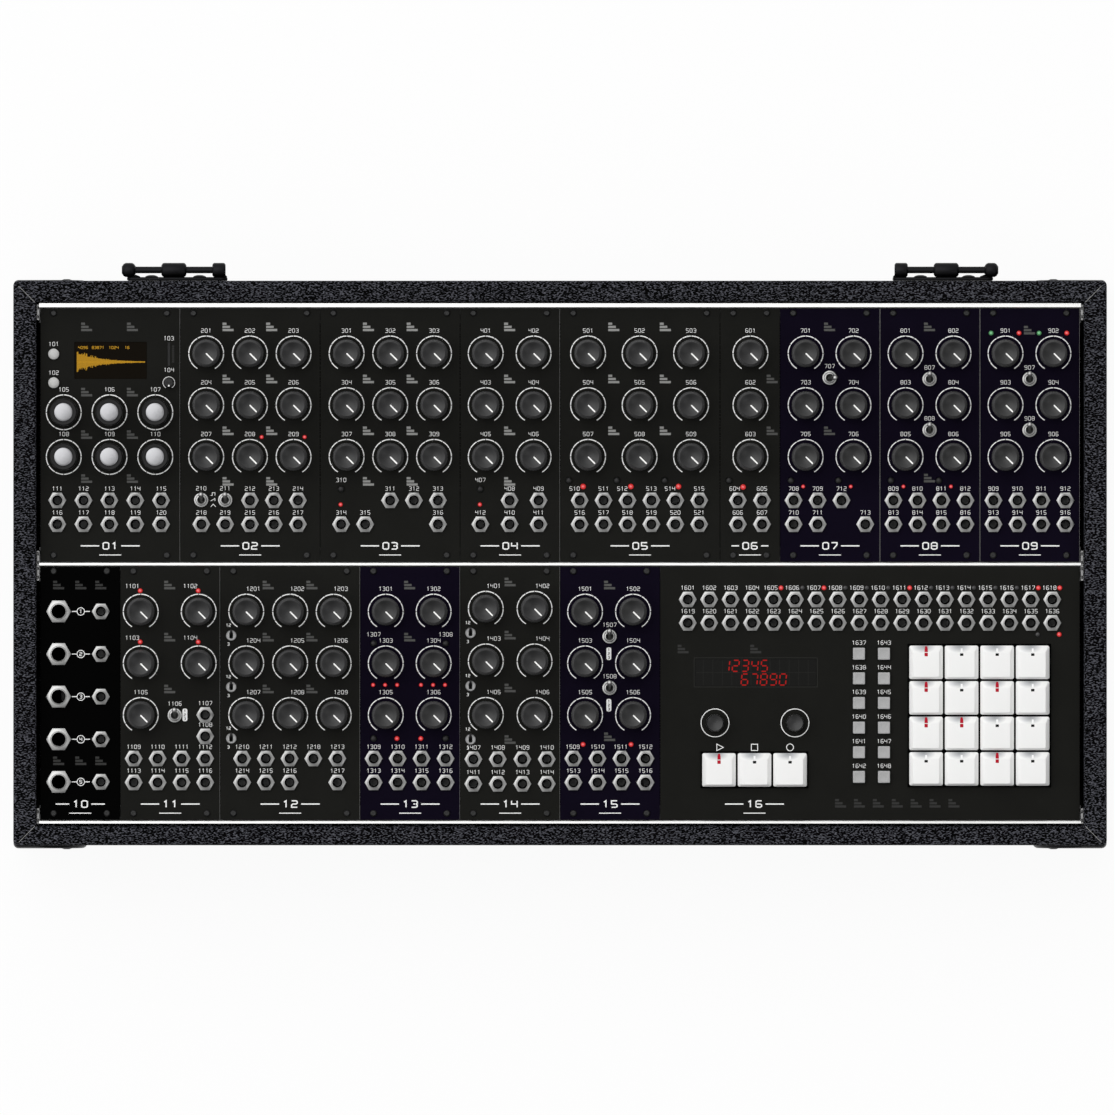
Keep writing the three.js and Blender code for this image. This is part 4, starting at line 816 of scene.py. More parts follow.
def round_button(radius, rise):
    """A round cap with a crowned face."""
    crown = [(radius * share, rise - 0.32 * radius * share ** 3) for share in (1.0, 0.95, 0.86, 0.72, 0.5, 0.25, 0)]
    return turned([(0, -BUTTON_REACH), (radius, -BUTTON_REACH)] + crown, 32)


def square_button():
    side, rise = SQUARE_BUTTON
    half = side / 2

    def ring(inset, z, radius):
        return round_rectangle((-half + inset, half - inset), (-half + inset, half - inset), z, radius, 3)
    return skin([ring(0, -BUTTON_REACH, 0.4), ring(0, rise - 0.35, 0.4), ring(0.1, rise - 0.1, 0.4),
                 ring(0.4, rise, 0.3), ring(0.9, rise, 0.2), ring(1.3, rise - 0.12, 0.2)])


def key_ring(z, insets, radius):
    """One ring of a key's cap, drawn in at its sides, back and front."""
    half = KEY_SIDE / 2
    side, back, front = insets
    return round_rectangle((-half + side, half - side), (-half + front, half - back), z, radius, 4)


def key_cap():
    """A key: upright walls, bevels of three widths round a flat top, and a stem."""
    rings = [
        key_ring(-KEY_SINK, (0, 0, 0), KEY_CORNER),
        key_ring(KEY_SHOULDER - 0.3, (0, 0, 0), KEY_CORNER),
        key_ring(KEY_SHOULDER, (0.15, 0.15, 0.1), KEY_CORNER),
    ]
    slope = (KEY_SIDE_BEVEL, KEY_BACK_BEVEL, KEY_FRONT_BEVEL)
    for share, drop in ((0.95, 0.12), (1.0, 0.03), (1.15, 0.0)):
        rings.append(key_ring(KEY_RISE - drop, tuple(width * share for width in slope), 0.7))
    form = skin(rings)
    half = KEY_STEM / 2
    stem = soft_block((-half, half), (-half, half), (-KEY_STEM_END, -KEY_SINK + 0.5), 0.2, 0.1, 2)
    return form.stamp(stem)


def on_back_bevel(outline, low, high):
    """A thin form over an outline of (x, share down the bevel), between two depths off the bevel."""
    half = KEY_SIDE / 2
    rings = []
    for depth in (low, high):
        ring = []
        for x, share in outline:
            y = half - 0.15 - (KEY_BACK_BEVEL - 0.15) * share
            z = KEY_SHOULDER + (KEY_RISE - 0.05 - KEY_SHOULDER) * share
            ring.append((x, y + depth * 0.55, z + depth * 0.83))
        rings.append(ring)
    return skin(rings)


def key_light(lit):
    """The light pipe down a key's back bevel and the window in its top."""
    top_edge = KEY_SIDE / 2 - KEY_BACK_BEVEL
    window_y = top_edge - (1.25 if lit else 1.3)
    window = centred_block(1.7, 1.8 if lit else 1.3, (KEY_RISE - 0.3, KEY_RISE + 0.04), 0.1, 0.03, (0, window_y))
    outline = [(0.5, 0.06), (-0.5, 0.06), (-0.8, 0.5), (-0.85, 1.0), (0.85, 1.0), (0.8, 0.5)]
    if not lit:
        outline = [(0.5, 0.42), (-0.5, 0.42), (-0.5, 0.98), (0.5, 0.98)]
    pipe = on_back_bevel(outline, -0.2, 0.07)
    return {"window": window, "pipe": pipe}


def lamp_dome(radius):
    profile = [(0, -0.5), (radius, -0.5), (radius, 0.4)]
    for i in range(1, 6):
        angle = math.pi / 2 * i / 6
        profile.append((radius * math.cos(angle), 0.4 + 0.75 * math.sin(angle)))
    profile.append((0, 1.15))
    return turned(profile, 24)


def lamp_core():
    """The brightest part of a lit lamp, at its crown."""
    return turned([(0, 0.9), (0.55, 0.9), (0.55, 1.1), (0.4, 1.17), (0.2, 1.2), (0, 1.21)], 24)


def panel_screw():
    """A button-head screw with a hexagonal recess."""
    head = turned([(0, 0), (1.75, 0), (1.75, 0.3), (1.5, 0.74), (1.05, 0.98), (0.98, 0.15), (0, 0.15)], 24)
    recess = [corner[:2] for corner in circle(0.82, sides=6)]
    return head.stamp(slab([corner[:2] for corner in circle(1.05, sides=24)], [recess], (0.15, 0.98)))


def dial_arc(form, at):
    """A printed arc in ten dashes with its opening at the front."""
    start = math.radians(-60)
    for i in range(10):
        low = start + i * ARC_STEP + (ARC_GAP / 2 if i else 0)
        high = start + (i + 1) * ARC_STEP - (ARC_GAP / 2 if i < 9 else 0)
        form.stamp(band(arc_points(ARC_RADIUS, low, high, 4), ARC_WIDTH), (*at, 0))


def dial_circle(form, at):
    """A printed full circle in twelve dashes."""
    for i in range(12):
        low = math.pi / 2 + i * ARC_STEP + ARC_GAP / 2
        form.stamp(band(arc_points(ARC_RADIUS, low, low + ARC_STEP - ARC_GAP, 4), ARC_WIDTH), (*at, 0))


# Materials


def shader_material(name, color, roughness, metallic=0.0, specular=0.5, coat=0.0):
    material = bpy.data.materials.new(name)
    material.use_nodes = True
    shader = material.node_tree.nodes["Principled BSDF"]
    shader.inputs["Base Color"].default_value = (*color, 1)
    shader.inputs["Roughness"].default_value = roughness
    shader.inputs["Metallic"].default_value = metallic
    shader.inputs["Specular IOR Level"].default_value = specular
    shader.inputs["Coat Weight"].default_value = coat
    material.diffuse_color = (*color, 1)
    return material


def node(material, kind, **values):
    """A new node whose inputs or properties are set by name."""
    made = material.node_tree.nodes.new(kind)
    for name, value in values.items():
        label = name.replace("_", " ")
        if label in made.inputs:
            made.inputs[label].default_value = value
        else:
            setattr(made, name, value)
    return made


def link(material, source, target):
    material.node_tree.links.new(source, target)


def shader_of(material):
    return material.node_tree.nodes["Principled BSDF"]


def coordinates(material, stretch=(1, 1, 1)):
    """Object coordinates, optionally stretched."""
    source = node(material, "ShaderNodeTexCoord")
    mapping = node(material, "ShaderNodeMapping")
    mapping.inputs["Scale"].default_value = stretch
    link(material, source.outputs["Object"], mapping.inputs["Vector"])
    return mapping.outputs["Vector"]


def ramp(material, source, stops):
    """A colour ramp over a value, with (place, colour) stops."""
    made = node(material, "ShaderNodeValToRGB")
    elements = made.color_ramp.elements
    while len(elements) < len(stops):
        elements.new(0.5)
    for element, (place, color) in zip(elements, stops):
        element.position = place
        element.color = (*color, 1)
    link(material, source, made.inputs["Fac"])
    return made.outputs["Color"]


def remap(material, source, low, high):
    """A value between 0 and 1 mapped to low and high."""
    made = node(material, "ShaderNodeMapRange")
    made.inputs["To Min"].default_value = low
    made.inputs["To Max"].default_value = high
    link(material, source, made.inputs["Value"])
    return made.outputs["Result"]


def noise(material, vector, scale, detail=3.0, roughness=0.5):
    made = node(material, "ShaderNodeTexNoise")
    made.inputs["Scale"].default_value = scale
    made.inputs["Detail"].default_value = detail
    made.inputs["Roughness"].default_value = roughness
    link(material, vector, made.inputs["Vector"])
    return made.outputs["Fac"]


def bump(material, height, strength, distance):
    made = node(material, "ShaderNodeBump")
    made.inputs["Strength"].default_value = strength
    made.inputs["Distance"].default_value = distance
    link(material, height, made.inputs["Height"])
    link(material, made.outputs["Normal"], shader_of(material).inputs["Normal"])


def tinted(material, source, color, spread_share):
    """Varies the base colour round its value by a share either way."""
    low = tuple(channel * (1 - spread_share) for channel in color)
    high = tuple(channel * (1 + spread_share) for channel in color)
    link(material, ramp(material, source, [(0.3, low), (0.7, high)]), shader_of(material).inputs["Base Color"])


def covering():
    """Black grained vinyl: short winding ridges with dark creases between them; its colour follows the same grain as
    its bump, so the ridges' tops are painted lighter as highlights and the creases painted black as shade.
    """
    material = shader_material("covering", (0.01, 0.01, 0.013), 0.5, specular=0.03)
    vector = coordinates(material, (1, 2.3, 2.1))
    grain = noise(material, vector, 840, 0)
    height = node(material, "ShaderNodeMath", operation="MULTIPLY_ADD")
    height.inputs[1].default_value = 3.0
    link(material, grain, height.inputs[0])
    link(material, remap(material, noise(material, vector, 2600, 2), 0, 0.3), height.inputs[2])
    bump(material, height.outputs["Value"], 1.0, 0.0005)
    # Painted highlight and shade: lighter on the grain's ridges, black in its creases.
    painted_tones = [(0.465, (0.0, 0.0, 0.0)), (0.535, (0.009, 0.009, 0.012)), (0.62, (0.096, 0.098, 0.115))]
    link(material, ramp(material, grain, painted_tones), shader_of(material).inputs["Base Color"])
    link(material, remap(material, grain, 0.6, 0.45), shader_of(material).inputs["Roughness"])
    return material


def painted_panel(name, color, specular):
    """Matt black panel lacquer with a fine, even grain."""
    material = shader_material(name, color, 0.6, specular=specular)
    vector = coordinates(material)
    tinted(material, noise(material, vector, 60, 4), color, 0.08)
    bump(material, noise(material, vector, 5200, 2), 0.12, 0.00006)
    link(material, remap(material, noise(material, vector, 900), 0.52, 0.68), shader_of(material).inputs["Roughness"])
    return material


def print_ink(name, color):
    material = shader_material(name, color, 0.6, specular=0.1)
    vector = coordinates(material)
    tinted(material, noise(material, vector, 2500, 2), color, 0.03)
    return material


def moulded_plastic(name, color, roughness, grain=0.15, specular=0.4, tint=0.06):
    """Moulded plastic with a fine spark-eroded grain."""
    material = shader_material(name, color, roughness, specular=specular)
    vector = coordinates(material)
    tinted(material, noise(material, vector, 1900, 3), color, tint)
    bump(material, noise(material, vector, 3800, 3), grain, 0.00008)
    low, high = roughness * 0.88, min(roughness * 1.15, 1)
    link(material, remap(material, noise(material, vector, 1400), low, high), shader_of(material).inputs["Roughness"])
    return material


def key_moulding():
    """White moulded caps, with a grey spot painted on the back bevel round the light pipe as shade."""
    white = (0.9, 0.9, 0.89)
    material = moulded_plastic("key_plastic", white, 0.35, 0.05, tint=0.01)
    # Painted shade: a grey spot on the back bevel, darkest at its middle by the light pipe, fading to the white.
    place = node(material, "ShaderNodeTexCoord")
    painted_shade_spot = node(material, "ShaderNodeMapping")
    painted_shade_spot.inputs["Location"].default_value = (-1.2, -5.1, 0)
    painted_shade_spot.inputs["Scale"].default_value = (2.8, 5.3, 0)
    link(material, place.outputs["Generated"], painted_shade_spot.inputs["Vector"])
    reach = node(material, "ShaderNodeVectorMath", operation="LENGTH")
    link(material, painted_shade_spot.outputs["Vector"], reach.inputs[0])
    painted_tones = [(0.0, (0.34, 0.35, 0.37)), (0.45, (0.54, 0.55, 0.56)), (1.0, white)]
    link(material, ramp(material, reach.outputs["Value"], painted_tones), shader_of(material).inputs["Base Color"])
    return material


def plated_metal(name, color, roughness, stretch=(1, 1, 1), scale=1600, depth=0.25):
    """Plated or brushed metal, its lines drawn out along an axis by stretch."""
    material = shader_material(name, color, roughness, metallic=1.0)
    vector = coordinates(material, stretch)
    lines = noise(material, vector, scale, 4, 0.6)
    tinted(material, lines, color, 0.08)
    bump(material, lines, depth, 0.00005)
    link(material, remap(material, lines, roughness * 0.75, roughness * 1.3), shader_of(material).inputs["Roughness"])
    return material


def glow(name, color, base, specular=0.06):
    """A lit lamp, window or segment."""
    material = shader_material(name, base, 0.25, specular=specular)
    vector = coordinates(material)
    tinted(material, noise(material, vector, 800, 2), base, 0.1)
    shader = shader_of(material)
    shader.inputs["Emission Color"].default_value = (*color, 1)
    shader.inputs["Emission Strength"].default_value = 1.0
    return material


MATERIALS = {
    "covering": covering(),
    "panel_warm": painted_panel("panel_warm", (0.0088, 0.0088, 0.0076), 0.04),
    "panel_cool": painted_panel("panel_cool", (0.0036, 0.0022, 0.0078), 0.02),
    "panel_black": painted_panel("panel_black", (0.0006, 0.0006, 0.0006), 0.01),
    # Bare metal of a panel's cut edge, painted lighter as a highlight and put only on edges that catch the light.
    "bare_edge_highlight": plated_metal("bare_edge_highlight", (0.14, 0.14, 0.137), 0.5),
    "print_white": print_ink("print_white", (0.93, 0.93, 0.92)),
    "print_grey": print_ink("print_grey", (0.30, 0.30, 0.29)),
    "print_mid": print_ink("print_mid", (0.085, 0.085, 0.082)),
    "print_dim": print_ink("print_dim", (0.030, 0.030, 0.029)),
    "knob_plastic": moulded_plastic("knob_plastic", (0.008, 0.008, 0.0084), 0.36, 0.3, 0.39),
    # A lighter copy of the knob's plastic: painted light, so that the steep fluted wall looks as bright from above as
    # the knob's top.
    "knob_grip": moulded_plastic("knob_grip", (0.074, 0.074, 0.075), 0.6, 0.3, 0.2),
    "pointer": moulded_plastic("pointer", (0.9, 0.9, 0.88), 0.45),
    "nickel": plated_metal("nickel", (0.38, 0.38, 0.375), 0.36),
    "nickel_dull": plated_metal("nickel_dull", (0.23, 0.23, 0.23), 0.4),
    "encoder_cap": plated_metal("encoder_cap", (0.31, 0.31, 0.32), 0.36, (1, 24, 1), 900),
    "encoder_plastic": moulded_plastic("encoder_plastic", (0.007, 0.007, 0.007), 0.46, 0.2, 0.18),
    "socket_black": moulded_plastic("socket_black", (0.003, 0.003, 0.003), 0.85, specular=0.04),
    "socket_grey": moulded_plastic("socket_grey", (0.38, 0.38, 0.38), 0.8, specular=0.04),
    "black_plastic": moulded_plastic("black_plastic", (0.008, 0.008, 0.008), 0.4, specular=0.25),
    "screw_black": moulded_plastic("screw_black", (0.006, 0.006, 0.006), 0.3, specular=0.28),
    "key_plastic": key_moulding(),
    "button_white": moulded_plastic("button_white", (0.52, 0.52, 0.51), 0.4),
    "grey_plastic": moulded_plastic("grey_plastic", (0.38, 0.38, 0.38), 0.45, 0.12),
    "key_dark": moulded_plastic("key_dark", (0.002, 0.002, 0.002), 0.3, specular=0.1),
    "key_clear": moulded_plastic("key_clear", (0.93, 0.93, 0.93), 0.2),
    "key_lit": glow("key_lit", (0.30, 0.004, 0.016), (0.13, 0.003, 0.006)),
    "lamp_red": glow("lamp_red", (0.34, 0.014, 0.012), (0.32, 0.010, 0.010), 0.5),
    "lamp_green": glow("lamp_green", (0.04, 0.10, 0.045), (0.03, 0.18, 0.06), 0.5),
    "core_red": glow("core_red", (0.66, 0.07, 0.09), (0.2, 0.05, 0.05), 0.5),
    "core_green": glow("core_green", (0.11, 0.34, 0.15), (0.06, 0.2, 0.08), 0.5),
    "lamp_off": moulded_plastic("lamp_off", (0.03, 0.03, 0.03), 0.2, 0.02),
    "amber": glow("amber", (0.48, 0.25, 0.012), (0.06, 0.03, 0.003)),
    "segment_red": glow("segment_red", (0.36, 0.005, 0.004), (0.03, 0.001, 0.001)),
    "segment_glass": moulded_plastic("segment_glass", (0.0075, 0.0075, 0.0068), 0.15, 0.01, specular=0.04),
    "segment_grid": print_ink("segment_grid", (0.022, 0.022, 0.02)),
    "glass": moulded_plastic("glass", (0.0050, 0.0034, 0.0016), 0.12, 0.01, specular=0.015),
    # A darker copy of the rails' aluminium: painted shade for the part seen deep in the gap between lip and panels.
    "shaded_rail_body": plated_metal("shaded_rail_body", (0.10, 0.10, 0.10), 0.6, (0.02, 1, 1), 1500),
    "rail_aluminium": plated_metal("rail_aluminium", (0.62, 0.62, 0.61), 0.28, (0.02, 1, 1), 1500),
    "black_steel": plated_metal("black_steel", (0.011, 0.011, 0.012), 0.42, depth=0.4),
    "rubber": moulded_plastic("rubber", (0.022, 0.022, 0.022), 0.8, 0.4, 0.3),
    "circuit_board": moulded_plastic("circuit_board", (0.008, 0.05, 0.02), 0.35, 0.05),
}


# The record's slot that each material stands for
SLOTS = {
    "covering": "case_covering", "panel_warm": "panel_warm", "panel_cool": "panel_cool",
    "panel_black": "panel_black", "knob_plastic": "knob_plastic", "knob_grip": "knob_plastic",
    "encoder_plastic": "knob_plastic", "nickel": "nickel", "nickel_dull": "nickel", "encoder_cap": "nickel",
    "screw_black": "black_steel", "key_plastic": "key_plastic", "key_clear": "key_plastic",
    "button_white": "key_plastic", "pointer": "key_plastic", "print_white": "key_plastic",
    "grey_plastic": "grey_plastic", "print_grey": "grey_plastic", "print_mid": "grey_plastic",
    "print_dim": "grey_plastic", "socket_grey": "grey_plastic", "bare_edge_highlight": "rail_aluminium",
    "rail_aluminium": "rail_aluminium", "shaded_rail_body": "rail_aluminium", "black_steel": "black_steel",
    "rubber": "rubber", "circuit_board": "circuit_board",
}
DEFAULT_SLOT = "black_plastic"


def mesh_of(name, form):
    """A Blender mesh of a form, in metres."""
    mesh = bpy.data.meshes.new(name)
    mesh.from_pydata([tuple(corner * MM) for corner in form.corners], [], form.faces)
    mesh.validate()
    return mesh


def piece(name, form, material, body="case", replaced=(), smooth=35, cutter=None):
    """Makes one Blender object of a form, less an optional cutter, riding on a body."""
    mesh = mesh_of(name, form)
    if cutter:
        mesh = cut(mesh, mesh_of("cutter", cutter))
    mesh.shade_smooth()
    mesh.set_sharp_from_angle(angle=math.radians(smooth))
    mesh.materials.clear()
    mesh.materials.append(MATERIALS[material])
    made = bpy.data.objects.new(name, mesh)
    bpy.context.scene.collection.objects.link(made)
    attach(made, body)
    SLOTS.get(material, DEFAULT_SLOT)
    if replaced:
        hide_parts(*replaced)
    return made


def cut(mesh, cutter_mesh):
    """A mesh less another."""
    scene_objects = bpy.context.scene.collection.objects
    solid = bpy.data.objects.new("solid", mesh)
    cutter = bpy.data.objects.new("cutter", cutter_mesh)
    scene_objects.link(solid)
    scene_objects.link(cutter)
    boolean = solid.modifiers.new("cut", "BOOLEAN")
    boolean.operation = "DIFFERENCE"
    boolean.solver = "EXACT"
    boolean.object = cutter
    bpy.context.view_layer.update()
    result = bpy.data.meshes.new_from_object(solid.evaluated_get(bpy.context.evaluated_depsgraph_get()))
    bpy.data.objects.remove(solid)
    bpy.data.objects.remove(cutter)
    return result


# Controls: what each kind puts on its panel, by material, and the hole that it needs there

NUT = hex_nut(SMALL_NUT["corner"], SMALL_NUT["height"], SMALL_NUT["hole"])
NUT_INSERT = socket_insert(SMALL_NUT["hole"], SMALL_NUT["plug"], SMALL_NUT["height"], SMALL_NUT["depth"])
BIG_NUT = hex_nut(LARGE_NUT["corner"], LARGE_NUT["height"], LARGE_NUT["hole"])
BIG_INSERT = socket_insert(LARGE_NUT["hole"], LARGE_NUT["plug"], LARGE_NUT["height"], LARGE_NUT["depth"])
NUT_FLOOR = socket_floor(SMALL_NUT["plug"], SMALL_NUT["depth"])
KNOB_FORMS = {"knob_plastic": knob_core(), "knob_grip": knob_grip(), "pointer": knob_pointer()}
KEY_CAP = key_cap()
KEY_LIGHTS = {True: key_light(True), False: key_light(False)}
PANEL_SCREW = panel_screw()


def moving_forms(kind, entry):
    """The forms of a control that turn, slide or swing together, by material."""
    if kind == "knob":
        return KNOB_FORMS
    if kind == "capped_encoder":
        return {"encoder_plastic": capped_encoder_body(), "encoder_cap": encoder_cap()}
    if kind == "small_encoder":
        return {"knob_plastic": small_encoder_body()}
    if kind == "toggle":
        return {"nickel": toggle_lever(entry["heading"])}
    if kind == "mini_toggle":
        return {"black_plastic": mini_lever()}
    if kind == "dark_button":
        return {"black_plastic": round_button(*DARK_BUTTON)}
    if kind == "white_button":
        return {"button_white": round_button(*WHITE_BUTTON)}
    if kind == "square_button":
        return {"grey_plastic": square_button()}
    return {}


def fixed_forms(kind, entry):
    """The forms of a control that stay on the panel, by material."""
    if kind == "jack":
        return {"nickel": NUT, "socket_black": NUT_INSERT, "socket_grey": NUT_FLOOR}
    if kind == "socket":
        return {"nickel": BIG_NUT, "socket_black": BIG_INSERT}
    if kind == "toggle":
        return {"nickel": toggle_seat()}
    if kind == "mini_toggle":
        return {"nickel_dull": mini_seat()}
    if kind == "trim_knob":
        return {"black_plastic": trim_knob()}
    if kind == "lamp":
        forms = {"lamp_" + entry["colour"]: lamp_dome(entry.get("radius", 1.2))}
        if entry["colour"] != "off":
            forms["core_" + entry["colour"]] = lamp_core()
        return forms
    return {}


def hole_of(kind, at):
    """The outline of a control's hole in its panel, or nothing."""
    radii = {"jack": SMALL_NUT["panel_hole"], "socket": LARGE_NUT["panel_hole"], "knob": SHAFT_HOLE,
             "capped_encoder": SHAFT_HOLE, "small_encoder": SHAFT_HOLE, "toggle": BUSHING_RADIUS - 0.3,
             "dark_button": DARK_BUTTON[0] + BUTTON_GAP, "white_button": WHITE_BUTTON[0] + BUTTON_GAP}
    if kind in radii:
        return [corner[:2] for corner in circle(radii[kind], sides=20, centre=at)]
    sizes = {"square_button": (SQUARE_BUTTON[0] + 2 * BUTTON_GAP,) * 2, "mini_toggle": MINI_SLOT,
             "wave_window": WAVE_WINDOW, "digit_window": DIGIT_WINDOW, "card_slot": CARD_SLOT}
    if kind in sizes:
        return rectangle(*sizes[kind], at)
    return None


# Printed marks and displays


def wave_marks():
    """Square, saw and triangle waves in a column."""
    form = Form()
    square = [(-1.3, -0.7), (-0.5, -0.7), (-0.5, 0.7), (0.9, 0.7), (0.9, -0.7)]
    saw = [(-1.4, -0.7), (0.9, 0.7), (0.9, -0.7)]
    triangle = [(-1.3, -0.7), (0, 0.7), (1.3, -0.7)]
    for outline, y in ((square, 3.0), (saw, 0.1), (triangle, -2.8)):
        form.stamp(band(outline, 0.3), (0, y, 0))
    return form


def link_mark(text):
    """A circled number with a line to the socket on each side."""
    form = hoop(1.9, 0.35)
    for side in (-1, 1):
        form.stamp(band([(side * 2.1, 0), (side * 4.6, 0)], 0.45))
    return form.stamp(number(text, 2.0))


def strip_mark(module, at):
    """A white pill that holds three dark figures."""
    ring = round_rectangle((-1.25, 1.25), (-3.2, 3.2), 0, 0.9, 4)
    module.parts["print_white"].stamp(prism(ring, PRINT), (*at, 0))
    for i, text in enumerate("123"):
        module.parts["key_dark"].stamp(number(text, 1.4, 0.25, PRINT_OVER), (at[0], at[1] + (1 - i) * 2.0, 0))


def bars_mark(module, at, colour):
    """Three bars of stepped lengths."""
    lengths = (2.0, 3.8, 5.6)
    for i, length in enumerate(lengths):
        bar = prism(rectangle(length, 1.15), PRINT)
        place = (at[0] + (length - lengths[-1]) / 2, at[1] + 1.6 - i * 1.6, 0)
        module.parts["print_" + colour].stamp(bar, place)


def transport_marks():
    """Play, stop and record signs over the three keys."""
    form = Form()
    form.stamp(band([(-1.3, -1.7), (2.0, 0), (-1.3, 1.7)], 0.38, closed=True), (0.2 - KEY_PITCH, 0, 0))
    form.stamp(band(rectangle(3.2, 3.2), 0.38, closed=True), (0, 0, 0))
    return form.stamp(hoop(1.75, 0.38), (KEY_PITCH, 0, 0))


def glass_block(size):
    return centred_block(size[0] - 0.1, size[1] - 0.1, (-PANEL_THICKNESS, -GLASS_DEPTH), 0.3, 0.05)


def wave_display(module, at):
    """A dark glass window with a decaying wave and a row of figures."""
    module.parts["glass"].stamp(glass_block(WAVE_WINDOW), (*at, 0))
    lit = (-GLASS_DEPTH - 0.1, -GLASS_DEPTH + 0.03)
    draw = random.Random(7)
    count = 84
    left = 1.3 - WAVE_WINDOW[0] / 2
    step = (WAVE_WINDOW[0] - 2.2) / count
    wave = Form()
    for i in range(count):
        share = i / count
        reach = draw.choice((0.74, 0.8, 0.86, 0.92, 1.12))
        swell = 5.8 * math.exp(-3.3 * share) * reach + 0.12
        lower = swell * (0.75 + 0.25 * draw.random())
        x = left + step * i
        outline = [(x, -lower), (x + step * 0.74, -lower), (x + step * 0.74, swell), (x, swell)]
        wave.stamp(prism(outline, lit))
    wave.stamp(prism(rectangle(step * count, 0.25, (left + step * count / 2, 0)), lit))
    module.parts["amber"].stamp(wave, (at[0], at[1] - 0.84, 0))
    for text, x in (("4096", -14.0), ("83871", -6.4), ("1024", 1.6), ("16", 8.4)):
        module.parts["amber"].stamp(number(text, 1.5, 0.22, lit), (at[0] + x, at[1] + 6.5, 0))


SEGMENTS = {"0": "abcdef", "1": "bc", "2": "abged", "3": "abgcd", "4": "fgbc", "5": "afgcd", "6": "afgedc",
            "7": "abc", "8": "abcdefg", "9": "abcdfg"}


def segment_forms(width, height, thickness, z):
    """Seven bars of a leaning display digit, by letter."""
    x, y = width / 2, height / 2
    gap = thickness * 0.75
    lean_share = 0.1
    ends = {"a": ((-x, y), (x, y)), "g": ((-x, 0), (x, 0)), "d": ((-x, -y), (x, -y)),
            "f": ((-x, 0), (-x, y)), "b": ((x, 0), (x, y)), "e": ((-x, -y), (-x, 0)), "c": ((x, -y), (x, 0))}
    forms = {}
    for letter, (start, end) in ends.items():
        along = (Vector(end) - Vector(start)).normalized()
        points = (Vector(start) + along * gap, Vector(end) - along * gap)
        forms[letter] = band([(p.x + lean_share * p.y, p.y) for p in points], thickness, z)
    return forms


def digit_display(module, at):
    """A dark window with two rows of red segment figures in a faint grid."""
    module.parts["segment_glass"].stamp(glass_block(DIGIT_WINDOW), (*at, 0))
    z = (-GLASS_DEPTH - 0.1, -GLASS_DEPTH + 0.04)
    shapes = segment_forms(3.2, 5.6, 0.62, z)
    pitch = 4.85
    for text, left, y in (("12345", -15.0, 3.35), ("67890", -5.6, -3.6)):
        for i, character in enumerate(text):
            for letter in SEGMENTS[character]:
                module.parts["segment_red"].stamp(shapes[letter], (at[0] + left + i * pitch, at[1] + y, 0))
    grid = module.parts["segment_grid"]
    grid.stamp(band(rectangle(62.6, 14.8), 0.3, closed=True), (*at, 0))
    lines = (-GLASS_DEPTH - 0.1, -GLASS_DEPTH + 0.015)
    for i in range(1, 13):
        x = (i - 6.5) * pitch
        grid.stamp(band([(x, -6.6), (x, 6.6)], 0.12, lines), (*at, 0))
    grid.stamp(band([(-30.4, -0.1), (30.4, -0.1)], 0.12, lines), (*at, 0))


# Modules


class Module:
    """One module of the rack: its place in the frame and the forms gathered for it by material."""

    def __init__(self, plan, index):
        self.plan = plan
        self.index = index
        self.name = plan["name"]
        low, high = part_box(self.name + "_module")
        self.centre = ((low.x + high.x) / 2 / MM, (low.y + high.y) / 2 / MM)
        self.width = (high.x - low.x) / MM
        self.parts = defaultdict(Form)
        self.holes = []
        self.labels = 0
        self.marks = 0

    def place(self, column, row):
        """A point of the panel from its shares, round the panel's centre."""
        return (column - 0.5) * self.plan["units"] * UNIT_WIDTH, (0.5 - row) * PANEL_HEIGHT

    def controls(self, kind=None):
        """Every control with its entry, place and, where it moves by itself, its name."""
        for entry in self.plan["controls"]:
            names = list(entry.get("names", ()))
            for row in entry["rows"]:
                for column in entry["columns"]:
                    if kind in (None, entry["kind"]):
                        yield entry, self.place(column, row), names.pop(0) if names else None

    def keys(self):
        """Every key with its place and name."""
        for block in self.plan.get("key_blocks", ()):
            centre = self.place(*block["centre"])
            for i, name in enumerate(block["names"]):
                column, row = i % block["columns"], i // block["columns"]
                x = centre[0] + (column - (block["columns"] - 1) / 2) * KEY_PITCH
                y = centre[1] - (row - (block["rows"] - 1) / 2) * KEY_PITCH
                yield (x, y), name

    def lifted(self, form, at=(0, 0)):
        """A form round a point of the panel, moved to its place in the frame."""
        return form.moved(Matrix.Translation((self.centre[0] + at[0], self.centre[1] + at[1], PANEL_TOP)))


def clear_of_lamps(module, x, y, half):
    """A label's place, moved sideways where a lamp stands in its line."""
    margin = 1.9
    for _, lamp, _ in module.controls("lamp"):
        gap = lamp[0] - x
        if abs(lamp[1] - y) < margin and abs(gap) < half + margin:
            x -= math.copysign(half + margin - abs(gap), gap if gap else 1)
    return x


def add_label(module, entry, at):
    """Prints a running number over a control."""
    kind = entry["kind"]
    if kind not in LABEL_OFFSETS or module.name == "link" or (kind == "dark_button" and not entry.get("labelled")):
        return
    module.labels += 1
    text = f"{module.index}{module.labels:02d}"
    shift = entry.get("shift", (0, 0))
    y = at[1] + LABEL_OFFSETS[kind] + shift[1]
    x = clear_of_lamps(module, at[0] + shift[0], y, text_width(text, LABEL_HEIGHT) / 2)
    module.parts["print_white"].stamp(number(text, LABEL_HEIGHT, 0.21), (x, y, 0))


